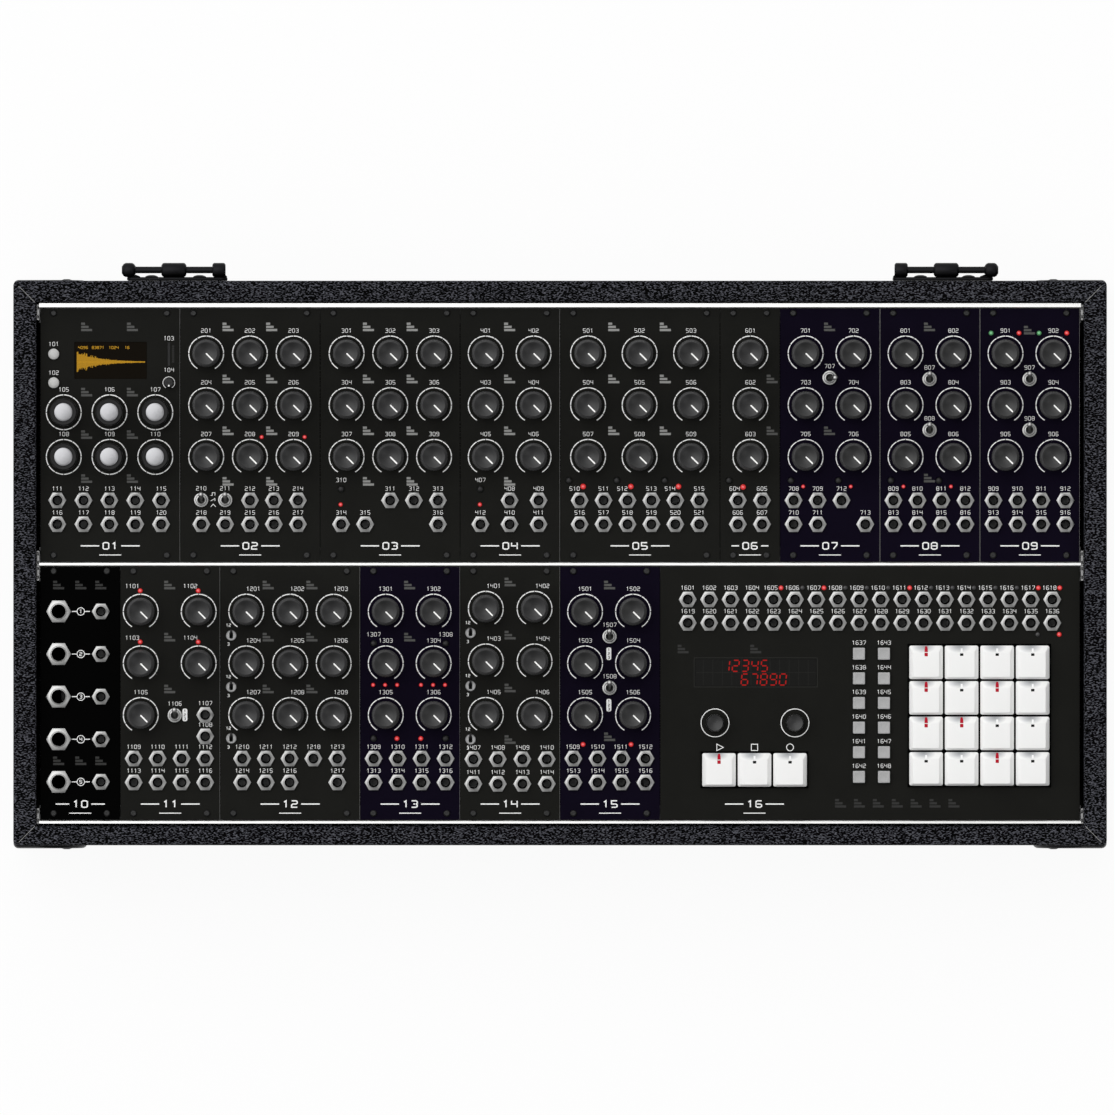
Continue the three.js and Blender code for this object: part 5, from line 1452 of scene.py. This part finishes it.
def add_control(module, entry, at, name):
    """Adds one control's forms, hole, print and body to its module, and its own pieces where it moves."""
    kind = entry["kind"]
    for material, form in fixed_forms(kind, entry).items():
        module.parts[material].stamp(form, (*at, 0))
    for i, (material, form) in enumerate(moving_forms(kind, entry).items()):
        if name:
            piece(f"{name}_{material}", module.lifted(form, at), material, name, (name,) if i == 0 else ())
        else:
            module.parts[material].stamp(form, (*at, 0))
    hole = hole_of(kind, at)
    if hole:
        module.holes.append(hole)
    size = BODY_SIZES.get(kind)
    if size:
        bore = [corner[:2] for corner in circle(size[3], sides=24)]
        block = slab(rectangle(size[0], size[1]), [bore], (-PANEL_THICKNESS - size[2], -PANEL_THICKNESS))
        module.parts["black_plastic"].stamp(block, (*at, 0))
    add_print(module, entry, at)
    add_label(module, entry, at)


# The width, depth, height and bore of each kind's body behind the panel, where it is a block
BODY_SIZES = {"socket": (15, 17, 26, 3.3), "toggle": (8, 11, 9.5, 1.5)}


def add_print(module, entry, at):
    """Adds what is printed or shown round one control."""
    kind = entry["kind"]
    white = module.parts["print_white"]
    if kind == "knob":
        dial_arc(white, at)
    elif kind == "capped_encoder":
        dial_circle(white, at)
    elif kind == "small_encoder":
        white.stamp(hoop(7.1, 0.42), (*at, 0))
    elif kind == "trim_knob":
        white.stamp(band(arc_points(3.0, math.radians(-60), math.radians(240), 30), 0.3), (*at, 0))
        white.stamp(prism(circle(0.45, sides=12), (0, TRIM_HEIGHT)), (at[0], at[1] - 1.5, 0))
    elif kind == "card_slot":
        slot = centred_block(CARD_SLOT[0] - 0.06, CARD_SLOT[1] - 0.06, (-PANEL_THICKNESS, -0.5), 0.2, 0.1)
        module.parts["rubber"].stamp(slot, (*at, 0))
        for i in range(9):
            module.parts["print_dim"].stamp(prism(rectangle(1.2, 0.55), PRINT), (at[0] + 2.2, at[1] + (4 - i) * 1.0, 0))
    elif kind == "wave_marks":
        white.stamp(wave_marks(), (*at, 0))
    elif kind == "link_mark":
        module.marks += 1
        white.stamp(link_mark(str(module.marks)), (*at, 0))
    elif kind == "mini_toggle":
        for text, x, y in (("12", -1.4, 5.2), ("3", -1.4, -4.4)):
            white.stamp(number(text, SMALL_LABEL_HEIGHT, 0.26), (at[0] + x, at[1] + y, 0))
    elif kind == "strip_mark":
        strip_mark(module, at)
    elif kind == "bars_mark":
        bars_mark(module, at, entry["colour"])
    elif kind == "transport_marks":
        white.stamp(transport_marks(), (*at, 0))
    elif kind == "wave_window":
        wave_display(module, at)
    elif kind == "digit_window":
        digit_display(module, at)


def add_key_wells(module):
    """Cuts the wells that the keys stand in and gives them a dark lining with a hole for each stem."""
    for block in module.plan.get("key_blocks", ()):
        centre = module.place(*block["centre"])
        width = block["columns"] * KEY_PITCH - 1 + 2 * KEY_WELL_MARGIN
        height = block["rows"] * KEY_PITCH - 1 + 2 * KEY_WELL_MARGIN
        module.holes.append(rectangle(width, height, centre))
        stems = [rectangle(STEM_HOLE, STEM_HOLE, (at[0] - centre[0], at[1] - centre[1]))
                 for at, name in module.keys() if name in block["names"]]
        lining = slab(rectangle(width, height), stems, (-KEY_WELL_DEPTH - 1.6, -KEY_WELL_DEPTH))
        lining.stamp(border(rectangle(width + 1.6, height + 1.6), rectangle(width, height),
                            (-KEY_WELL_DEPTH - 1.6, -PANEL_THICKNESS)))
        module.parts["socket_black"].stamp(lining, (*centre, 0))


def add_keys(module):
    for i, (at, name) in enumerate(module.keys()):
        lit = i + 1 in LIT_STEPS or name == "play_key"
        shapes = KEY_LIGHTS[lit]
        piece(f"{name}_cap", module.lifted(KEY_CAP, at), "key_plastic", name, (name,), 20)
        piece(f"{name}_pipe", module.lifted(shapes["pipe"], at), "key_lit" if lit else "key_clear", name)
        piece(f"{name}_window", module.lifted(shapes["window"], at), "key_lit" if lit else "key_dark", name)


def add_screws(module):
    if not module.plan.get("screws", True):
        return
    half = module.width / 2 - 6.6
    for row in SCREW_ROW_SHARES:
        for x in (-half, half):
            module.parts["screw_black"].stamp(PANEL_SCREW, (x, module.place(0, row)[1], 0))


def add_title(module):
    """A plain number between two rules, with a short rule below, where a name would stand."""
    x, y = module.place(module.plan.get("title_column", 0.5), TITLE_ROW_SHARE)
    below = module.place(0, RULE_ROW_SHARE)[1]
    white = module.parts["print_white"]
    text = f"{module.index:02d}"
    stretch = 1.3
    white.stamp(number(text, TITLE_HEIGHT, 0.62, stretch=stretch), (x, y, 0))
    near = text_width(text, TITLE_HEIGHT, stretch) / 2 + 2.0
    far = min(module.width * 0.31, 15.0)
    for side in (-1, 1):
        white.stamp(band([(side * near, 0), (side * far, 0)][::side], 0.62), (x, y, 0))
    white.stamp(band([(-near, 0), (near, 0)], 0.45), (x, below, 0))


def add_back(module):
    """The circuit board behind the panel, open round each deep socket, and its power header."""
    board_top = -PANEL_THICKNESS - 10.5
    opening = [side + 0.4 for side in BODY_SIZES["socket"][:2]]
    openings = [rectangle(*opening, at) for _, at, _ in module.controls("socket")]
    board = slab(rectangle(module.width - 1.2, 108.9), openings, (board_top - 1.6, board_top))
    module.parts["circuit_board"].stamp(board)
    module.parts["black_plastic"].stamp(centred_block(20, 8, (board_top - 10.6, board_top - 1.6), 0.4, 0.3))


def add_panel(module):
    """The lacquered plate with its real holes, and a thin bare-metal strip, painted lighter as a highlight, on each
    edge that catches the light.
    """
    sides = []
    for side, lit in zip((-1, 1), module.plan["lit_edges"]):
        sides.append(side * (module.width / 2 - PANEL_EDGE * lit))
        if lit:
            # A lit edge's strip is bare metal and a painted highlight.
            edge = rectangle(PANEL_EDGE, PANEL_HEIGHT, (side * (module.width - PANEL_EDGE) / 2, 0))
            module.parts["bare_edge_highlight"].stamp(prism(edge, (-PANEL_THICKNESS, 0)))
    outline = rectangle(sides[1] - sides[0], PANEL_HEIGHT, (sum(sides) / 2, 0))
    plate = slab(outline, module.holes, (-PANEL_THICKNESS, 0))
    name = module.name
    piece(f"{name}_panel", module.lifted(plate), module.plan["finish"], "case", (f"{name}_module",))


def build_module(plan, index):
    module = Module(plan, index)
    for entry, at, name in module.controls():
        add_control(module, entry, at, name)
    add_key_wells(module)
    add_keys(module)
    add_screws(module)
    add_title(module)
    add_back(module)
    add_panel(module)
    for material, form in module.parts.items():
        if material in SHARED_MATERIALS:
            SHARED_FORMS[material].stamp(module.lifted(form))
        else:
            piece(f"{module.name}_{material}", module.lifted(form), material)


# Materials whose forms on all modules make one piece
SHARED_MATERIALS = ("lamp_red", "lamp_green", "lamp_off", "core_red", "core_green", "screw_black", "bare_edge_highlight",
                    "print_dim", "print_mid", "print_grey", "key_dark", "circuit_board", "glass", "amber",
                    "segment_red", "socket_grey", "knob_grip", "pointer")
SHARED_FORMS = defaultdict(Form)


# Case


RAIL_ENDS = [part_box("front_rail")[i].x / MM for i in (0, 1)]
FRONT_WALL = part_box("front_rail")[0].y / MM - SEAT_GAP - WALL
BACK_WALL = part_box("rear_rail")[1].y / MM + SEAT_GAP + WALL
SIDE_WALL = RAIL_ENDS[1] + SEAT_GAP + WALL
MIDDLE_Y = (FRONT_WALL + BACK_WALL) / 2
CASE_BOTTOM = FOOT_HEIGHT + SEAT_GAP
RIM_TOP = CASE_BOTTOM + CASE_HEIGHT
PANEL_TOP = RIM_TOP - RIM_ABOVE_PANELS
HALF_DEPTH = (BACK_WALL - FRONT_WALL) / 2
UP_TO_BACK = Matrix.Rotation(-math.pi / 2, 4, "X")
UP_TO_FRONT = Matrix.Rotation(math.pi / 2, 4, "X")
UP_TO_RIGHT = Matrix.Rotation(math.pi / 2, 4, "Y")


def mirrored(form, side_x=1, side_y=1):
    """A form mirrored in the middle planes of the case, with its faces still outward."""
    corners = [(c.x * side_x, MIDDLE_Y + (c.y - MIDDLE_Y) * side_y, c.z) for c in form.corners]
    faces = form.faces if side_x * side_y > 0 else [list(reversed(face)) for face in form.faces]
    return Form().add(corners, faces)


def case_ring(inset, z, radius, rebate=0, recess=0):
    """The case's outline, drawn in all round, let out at front and back, or set back at the front."""
    x = SIDE_WALL - inset
    y = HALF_DEPTH - inset + rebate
    return round_rectangle((-x, x), (MIDDLE_Y - y + recess, MIDDLE_Y + y), z, radius, 6)


def tray():
    """The covered case: walls with round edges, a floor and a hollow for the modules."""
    edge = 1.5
    rings = []
    for i in range(5):
        angle = math.pi / 2 * i / 4
        z = CASE_BOTTOM + edge * (1 - math.cos(angle))
        rings.append(case_ring(edge * (1 - math.sin(angle)), z, CASE_CORNER, recess=FRONT_RECESS))
    for i in range(5):
        angle = math.pi / 2 * i / 4
        z = RIM_TOP - edge * (1 - math.sin(angle))
        rings.append(case_ring(edge * (1 - math.cos(angle)), z, CASE_CORNER, recess=FRONT_RECESS))
    inner_edge = 0.8
    for i in range(4):
        angle = math.pi / 2 * i / 3
        inset = WALL - inner_edge * (1 - math.sin(angle))
        rings.append(case_ring(inset, RIM_TOP - inner_edge * (1 - math.cos(angle)), 0.6, RAIL_REBATE))
    shelf = PANEL_TOP - 2.5
    rings += [case_ring(WALL, shelf, 0.6, RAIL_REBATE), case_ring(WALL, shelf, 0.6)]
    rings.append(case_ring(WALL, CASE_BOTTOM + FLOOR_THICKNESS, 0.6))
    return skin(rings)


def inlet_place():
    low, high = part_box("power_inlet")
    return Matrix.Translation(((low.x + high.x) / 2 / MM, BACK_WALL, (low.z + high.z) / 2 / MM)) @ UP_TO_BACK


def inlet_cutter():
    return turned([(0, -WALL - 2), (6.3, -WALL - 2), (6.3, -2.3), (8.3, -2.3), (8.3, 2), (0, 2)], 48).moved(inlet_place())


def build_inlet():
    """A barrel socket in the back wall: moulding, contact sleeve and pin."""
    place = inlet_place()
    body = turned([(0, -19.6), (6, -19.6), (6, -2), (8, -2), (8, -0.5), (7.6, 0), (4.2, 0), (3.6, -0.5), (3.6, -9),
                   (0, -9)], 48)
    sleeve = turned([(3.1, -8.8), (3.55, -8.8), (3.55, -0.7), (3.1, -0.7)], 32, closed=True)
    pin = turned([(0, -9.4), (1.05, -9.4), (1.05, -1.5), (0.7, -1.0), (0, -1.0)], 24)
    piece("inlet_moulding", body.moved(place), "black_plastic", "case", ("power_inlet",))
    piece("inlet_contacts", sleeve.stamp(pin).moved(place), "nickel")


def mitre_seams():
    """The thin light lines where the covering is mitred at the rim's corners."""
    outer = (SIDE_WALL - 2.7, BACK_WALL - 2.7)
    inner = (SIDE_WALL - WALL + 0.7, BACK_WALL - WALL + 0.7)
    seam = band([inner, outer], 0.24, (RIM_TOP - 0.1, RIM_TOP + 0.04))
    form = Form()
    for side_x in (-1, 1):
        for side_y in (-1, 1):
            form.stamp(mirrored(seam, side_x, side_y))
    return form


def corner_guard():
    """The guard of the back right corner: it wraps both walls and the floor, with rounded lobes."""
    x = (SIDE_WALL - GUARD_LENGTH, SIDE_WALL + GUARD_THICKNESS)
    y = (BACK_WALL - GUARD_LENGTH, BACK_WALL + GUARD_THICKNESS)
    low = CASE_BOTTOM - 0.9
    levels = ((0, 1.2, 3.0), (0.35, 0.35, 1.4), (1.1, 0, 0.6), (14, 0, 0.4), (20, 0, 1.6), (25, 0, 4.4),
              (29, 0, 8.6), (31.5, 0.1, 12.5), (33.3, 0.3, 16.5), (34.4, 0.65, 20.5), (34.9, 0.95, 23.5))
    rings = []
    for rise, inset, far in levels:
        ring = round_rectangle((x[0] + far, x[1] - inset), (y[0] + far, y[1] - inset), low + rise, 2.6, 5)
        rings.append(ring)
    return skin(rings)


def dome_screw(radius, rise):
    """A round-headed screw with a cross recess."""
    profile = [(0, -0.6), (radius, -0.6), (radius, 0.1)]
    for i in range(1, 5):
        angle = math.pi / 2 * i / 6
        profile.append((radius * math.cos(angle), 0.1 + (rise - 0.1) * math.sin(angle)))
    flat = radius * 0.42
    profile += [(flat, rise), (flat - 0.05, rise - 0.5), (0, rise - 0.5)]
    cross = []
    arm, half = flat * 0.72, 0.2
    for quarter in range(4):
        turn = Matrix.Rotation(quarter * math.pi / 2, 2)
        cross += [tuple(turn @ Vector(point)) for point in ((arm, -half), (arm, half), (half, half))]
    return turned(profile, 28).stamp(slab([c[:2] for c in circle(flat, sides=28)], [cross], (rise - 0.6, rise)))


def build_guards():
    guards, screws = Form(), Form()
    head = dome_screw(GUARD_SCREW_RADIUS, GUARD_SCREW_RISE)
    at = (SIDE_WALL + 0.9 - GUARD_SCREW_INSET, BACK_WALL, CASE_BOTTOM + GUARD_SCREW_HEIGHT)
    back_head = head.moved(Matrix.Translation(at) @ UP_TO_BACK)
    small = dome_screw(2.6, 0.88)
    side_at = (SIDE_WALL, BACK_WALL + 0.9 - GUARD_SCREW_INSET, CASE_BOTTOM + GUARD_SCREW_HEIGHT)
    side_head = small.moved(Matrix.Translation(side_at) @ UP_TO_RIGHT)
    guard = corner_guard()
    for side_x in (-1, 1):
        for side_y in (-1, 1):
            guards.stamp(mirrored(guard, side_x, side_y))
            screws.stamp(mirrored(back_head, side_x, side_y))
            screws.stamp(mirrored(side_head, side_x, side_y))
    piece("corner_guards", guards, "black_steel", smooth=25)
    piece("guard_screws", screws, "black_steel")


def hinge_axis():
    return BACK_WALL + HINGE_STANDOFF, RIM_TOP - HINGE_BELOW_RIM


def along_x(profile, sides=28, closed=False):
    """A round form about the hinges' axis from (radius, x) points."""
    y, z = hinge_axis()
    return turned(profile, sides, closed).moved(Matrix.Translation((0, y, z)) @ UP_TO_RIGHT)


def knuckle(outer, barrel_span, foot_span, corner):
    """One knuckle: a barrel with its corners taken off on a foot that leans to the plate."""
    low, high = (outer + value for value in barrel_span)
    radius = HINGE_BARREL
    form = along_x([(HINGE_BORE, low), (radius - corner, low), (radius - 0.3 * corner, low + 0.45 * corner),
                    (radius, low + corner), (radius, high - corner), (radius - 0.3 * corner, high - 0.45 * corner),
                    (radius - corner, high), (HINGE_BORE, high)], closed=True)
    y, z = hinge_axis()
    wall = BACK_WALL + SEAT_GAP
    foot = [outer + value for value in foot_span]
    rings = []
    for depth, span, heights in (
        (wall, foot, (z - 7.5, z - 1.2)),
        (wall + HINGE_PLATE[2] + 0.4, foot, (z - 6.5, z - 0.9)),
        (y - HINGE_BORE - 0.1, (low + 0.6 * corner, high - 0.6 * corner), (z - 2.8, z + 2.2)),
    ):
        rings.append([(span[0], depth, heights[0]), (span[0], depth, heights[1]), (span[1], depth, heights[1]),
                      (span[1], depth, heights[0])])
    return form.stamp(skin(rings))


def hinge_leaf():
    """The left hinge's plate and knuckles."""
    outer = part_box("hinge_leaf_left")[0].x / MM
    _, z = hinge_axis()
    width, height, thickness = HINGE_PLATE
    wall = BACK_WALL + SEAT_GAP
    plate = soft_block((outer + PLATE_START, outer + width), (z - height, z), (-thickness, 0), 3.0, 0.3, 4)
    turn = Matrix.Rotation(math.pi / 2, 4, "X")
    form = plate.moved(Matrix.Translation((0, wall, 0)) @ turn)
    for barrel_span, foot_span, corner in KNUCKLES:
        form.stamp(knuckle(outer, barrel_span, foot_span, corner))
    return form


def hinge_screws():
    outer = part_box("hinge_leaf_left")[0].x / MM
    _, z = hinge_axis()
    face = BACK_WALL + SEAT_GAP + HINGE_PLATE[2]
    form = Form()
    for column in HINGE_SCREW_COLUMNS:
        for row in HINGE_SCREW_ROWS:
            place = Matrix.Translation((outer + column, face, z - row)) @ UP_TO_BACK
            form.stamp(dome_screw(3.3, 1.1).moved(place))
    return form


def hinge_rod():
    """The left hinge's rod, with rounded ends."""
    low, high = (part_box("hinge_pin_left")[i].x / MM for i in (0, 1))
    radius = HINGE_PIN_RADIUS
    return along_x([(0, low), (radius - 0.4, low), (radius, low + 0.4), (radius, high - 0.4), (radius - 0.4, high),
                    (0, high)])


def build_hinges():
    leaf, screws, rod = hinge_leaf(), hinge_screws(), hinge_rod()
    for side, name in ((1, "left"), (-1, "right")):
        piece(f"hinge_{name}_leaf", mirrored(leaf, side), "black_steel", "case", (f"hinge_leaf_{name}",), 30)
        piece(f"hinge_{name}_screws", mirrored(screws, side), "black_steel")
        piece(f"hinge_{name}_rod", mirrored(rod, side), "black_steel", "case", (f"hinge_pin_{name}",))


def extruded(outline, x):
    """A form along X over an anticlockwise section in Y and Z, seen from +X."""
    return skin([[(level, y, z) for y, z in outline] for level in x])


def rail_sections():
    """The lip and body of an edge rail, then of the centre rail, as sections from the lip's outer side or middle."""
    shelf = -PANEL_THICKNESS - SEAT_GAP
    low, high = RAIL_SLOT
    edge, width, half = LIP_EDGE, LIP_WIDTH, LIP_WIDTH / 2
    flank = [(RAIL_DEPTH, -RAIL_HEIGHT), (RAIL_DEPTH, shelf), (high, shelf), (high, shelf - RAIL_SLOT_DEPTH),
             (low, shelf - RAIL_SLOT_DEPTH), (low, shelf)]
    lip = [(edge, LIP_RISE), (0, LIP_RISE - edge), (0, shelf), (width, shelf), (width, LIP_RISE - edge),
           (width - edge, LIP_RISE)]
    right = [(y - half, z) for y, z in flank]
    centre = right + [(-y, z) for y, z in reversed(right)]
    return (lip, [(0, shelf), (0, -RAIL_HEIGHT)] + flank), ([(y - half, z) for y, z in lip], centre)


def bracket(x, y):
    """A slotted plate that closes the end of a rail."""
    middle = (y[0] + y[1]) / 2
    slots = [rectangle(BRACKET_SLOT[0], BRACKET_SLOT[1], ((x[0] + x[1]) / 2, middle + side)) for side in (-2.2, 2.2)]
    outline = [(x[0], y[0]), (x[1], y[0]), (x[1], y[1]), (x[0], y[1])]
    return slab(outline, slots, (PANEL_TOP - RAIL_HEIGHT, PANEL_TOP - BRACKET_DROP))


def build_rails():
    """The three rails with a bracket at each end."""
    ends = (RAIL_ENDS[0] + RAIL_BRACKET, RAIL_ENDS[1] - RAIL_BRACKET)
    front = FRONT_WALL + WALL + SEAT_GAP
    middle = sum(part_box("centre_rail")[i].y for i in (0, 1)) / 2 / MM
    edge_sections, centre_sections = rail_sections()
    brackets = Form()
    for name, start, sections in (("front", front, edge_sections), ("centre", middle, centre_sections),
                                  ("rear", front, edge_sections)):
        side = -1 if name == "rear" else 1
        for part, section in zip(("lip", "body"), sections):
            reach = REAR_LIP_REACH if (name, part) == ("rear", "lip") else 0
            places = [(start + (y - reach if y < LIP_WIDTH / 2 else y), PANEL_TOP + z) for y, z in section]
            form = extruded(places, ends)
            replaced = (f"{name}_rail",) if part == "body" else ()
            # The body below the lip takes the darker copy of the aluminium, as painted shade in the gap.
            material = "rail_aluminium" if part == "lip" else "shaded_rail_body"
            piece(f"{name}_rail_{part}", mirrored(form, 1, side), material, "case", replaced, 20)
        low = start + min(y for y, _ in sections[1]) + 0.2
        for y in {(low, low + BRACKET_REACH), (start - LIP_WIDTH / 2 + 0.2, start + BRACKET_REACH - 1)}:
            if name == "centre" or y[0] == low:
                form = bracket((ends[1], RAIL_ENDS[1]), y)
                brackets.stamp(mirrored(form, 1, side)).stamp(mirrored(form, -1, side))
    piece("rail_brackets", brackets, "nickel_dull", smooth=20)


def build_feet():
    """Turned rubber feet with a screw and washer in each recess."""
    radius, top = 12.0, FOOT_HEIGHT
    profile = [(0, 3), (4, 3), (4, 0.5), (4.4, 0.1), (5, 0), (9.2, 0), (9.8, 0.15), (10.2, 0.6), (radius - 0.1, top - 1.2),
               (radius, top - 0.6), (radius - 0.4, top), (0, top)]
    foot = turned(profile, 56)
    fixing = turned([(0, 1.2), (1.6, 1.4), (2.4, 1.9), (2.6, 2.5), (3.8, 2.5), (3.8, 3.1), (0, 3.1)], 32)
    for name in ("foot_front_left", "foot_front_right", "foot_rear_left", "foot_rear_right"):
        low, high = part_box(name)
        at = ((low.x + high.x) / 2 / MM, (low.y + high.y) / 2 / MM, 0)
        piece(f"{name}_rubber", Form().stamp(foot, at), "rubber", "case", (name,))
        piece(f"{name}_fixing", Form().stamp(fixing, at), "nickel")


def build_case():
    piece("case_covering", tray(), "covering", "case", ("case_shell",), cutter=inlet_cutter())
    piece("rim_seams", mitre_seams(), "print_grey")
    build_guards()
    build_hinges()
    build_rails()
    build_feet()
    build_inlet()
    board = bpy.data.objects["bus_board"]
    board.data.materials.clear()
    board.data.materials.append(MATERIALS["circuit_board"])


# Stage, camera and light


def seen_ray(tree):
    """A value of one for rays from the camera, off gloss or through glass."""
    path = tree.nodes.new("ShaderNodeLightPath")
    value = path.outputs["Is Camera Ray"]
    for name in ("Is Glossy Ray", "Is Transmission Ray"):
        largest = tree.nodes.new("ShaderNodeMath")
        largest.operation = "MAXIMUM"
        tree.links.new(value, largest.inputs[0])
        tree.links.new(path.outputs[name], largest.inputs[1])
        value = largest.outputs[0]
    return value


def build_stage():
    mesh = bpy.data.meshes.new("floor")
    reach = 8.0
    mesh.from_pydata([(-reach, -reach, 0), (reach, -reach, 0), (reach, reach, 0), (-reach, reach, 0)], [],
                     [(0, 1, 2, 3)])
    floor = bpy.data.objects.new("floor", mesh)
    bpy.context.scene.collection.objects.link(floor)
    material = shader_material("floor_white", (0.93, 0.93, 0.93), 0.9, specular=0.0)
    tree = material.node_tree
    share = tree.nodes.new("ShaderNodeMath")
    share.operation = "MULTIPLY"
    share.inputs[1].default_value = 0.93
    tree.links.new(seen_ray(tree), share.inputs[0])
    light = tree.nodes.new("ShaderNodeEmission")
    mix = tree.nodes.new("ShaderNodeMixShader")
    tree.links.new(share.outputs[0], mix.inputs["Fac"])
    tree.links.new(shader_of(material).outputs[0], mix.inputs[1])
    tree.links.new(light.outputs[0], mix.inputs[2])
    tree.links.new(mix.outputs[0], tree.nodes["Material Output"].inputs["Surface"])
    mesh.materials.append(material)


def build_world():
    """A white surround, brighter at the back left, fainter as light on matt surfaces than in reflections."""
    world = bpy.data.worlds.new("studio")
    bpy.context.scene.world = world
    world.use_nodes = True
    tree = world.node_tree
    place = tree.nodes.new("ShaderNodeTexCoord")
    along = tree.nodes.new("ShaderNodeVectorMath")
    along.operation = "DOT_PRODUCT"
    along.inputs[1].default_value = WORLD_BRIGHT_SIDE
    slope = tree.nodes.new("ShaderNodeMapRange")
    path = tree.nodes.new("ShaderNodeLightPath")
    share = tree.nodes.new("ShaderNodeMapRange")
    strength = tree.nodes.new("ShaderNodeMath")
    strength.operation = "MULTIPLY"
    surround = tree.nodes["Background"]
    surround.inputs["Color"].default_value = (1, 1, 1, 1)
    white = tree.nodes.new("ShaderNodeBackground")
    white.inputs["Color"].default_value = (1, 1, 1, 1)
    mix = tree.nodes.new("ShaderNodeMixShader")
    for name, value in (("From Min", -0.8), ("From Max", 0.8), ("To Min", WORLD_FRONT), ("To Max", WORLD_BACK)):
        slope.inputs[name].default_value = value
    share.inputs["To Min"].default_value = WORLD_DIFFUSE
    tree.links.new(place.outputs["Generated"], along.inputs[0])
    tree.links.new(along.outputs["Value"], slope.inputs["Value"])
    tree.links.new(path.outputs["Is Glossy Ray"], share.inputs["Value"])
    tree.links.new(slope.outputs["Result"], strength.inputs[0])
    tree.links.new(share.outputs["Result"], strength.inputs[1])
    tree.links.new(strength.outputs[0], surround.inputs["Strength"])
    tree.links.new(path.outputs["Is Camera Ray"], mix.inputs["Fac"])
    tree.links.new(surround.outputs[0], mix.inputs[1])
    tree.links.new(white.outputs[0], mix.inputs[2])
    tree.links.new(mix.outputs[0], tree.nodes["World Output"].inputs["Surface"])


WORLD_BRIGHT_SIDE = (-0.64, 0.77, 0)
WORLD_FRONT = 0.25
WORLD_BACK = 1.65
WORLD_DIFFUSE = 0.6


def area_light(name, at, size, power):
    """A square lamp that faces the middle of the panels."""
    data = bpy.data.lights.new(name, "AREA")
    data.shape = "SQUARE"
    data.size = size
    data.energy = power
    lamp = bpy.data.objects.new(name, data)
    bpy.context.scene.collection.objects.link(lamp)
    lamp.location = at
    aim = Vector((0, 0, 0.08)) - Vector(at)
    lamp.rotation_euler = aim.to_track_quat("-Z", "Y").to_euler()


def build_camera():
    """A long lens straight above, so that the picture is all but free of perspective."""
    data = bpy.data.cameras.new("camera")
    data.lens = 1000
    data.sensor_width = 36
    data.clip_end = 100
    camera = bpy.data.objects.new("camera", data)
    bpy.context.scene.collection.objects.link(camera)
    distance = FRAME_WIDTH * data.lens / data.sensor_width
    camera.location = (-0.0013, MIDDLE_Y * MM + 0.0034, RIM_TOP * MM + distance)
    bpy.context.scene.camera = camera


FRAME_WIDTH = 0.5664
build_camera()
build_stage()
build_world()
area_light("key_lamp", (-1.1, 0.9, 3.1), 3.6, 56)
area_light("fill_lamp", (1.8, -1.2, 2.4), 1.6, 8)
build_case()
for position, module_plan in enumerate(MODULES, 1):
    build_module(module_plan, position)
for shared_material, shared_form in SHARED_FORMS.items():
    piece(f"rack_{shared_material}", shared_form, shared_material)

bpy.context.scene.view_settings.view_transform = "Standard"
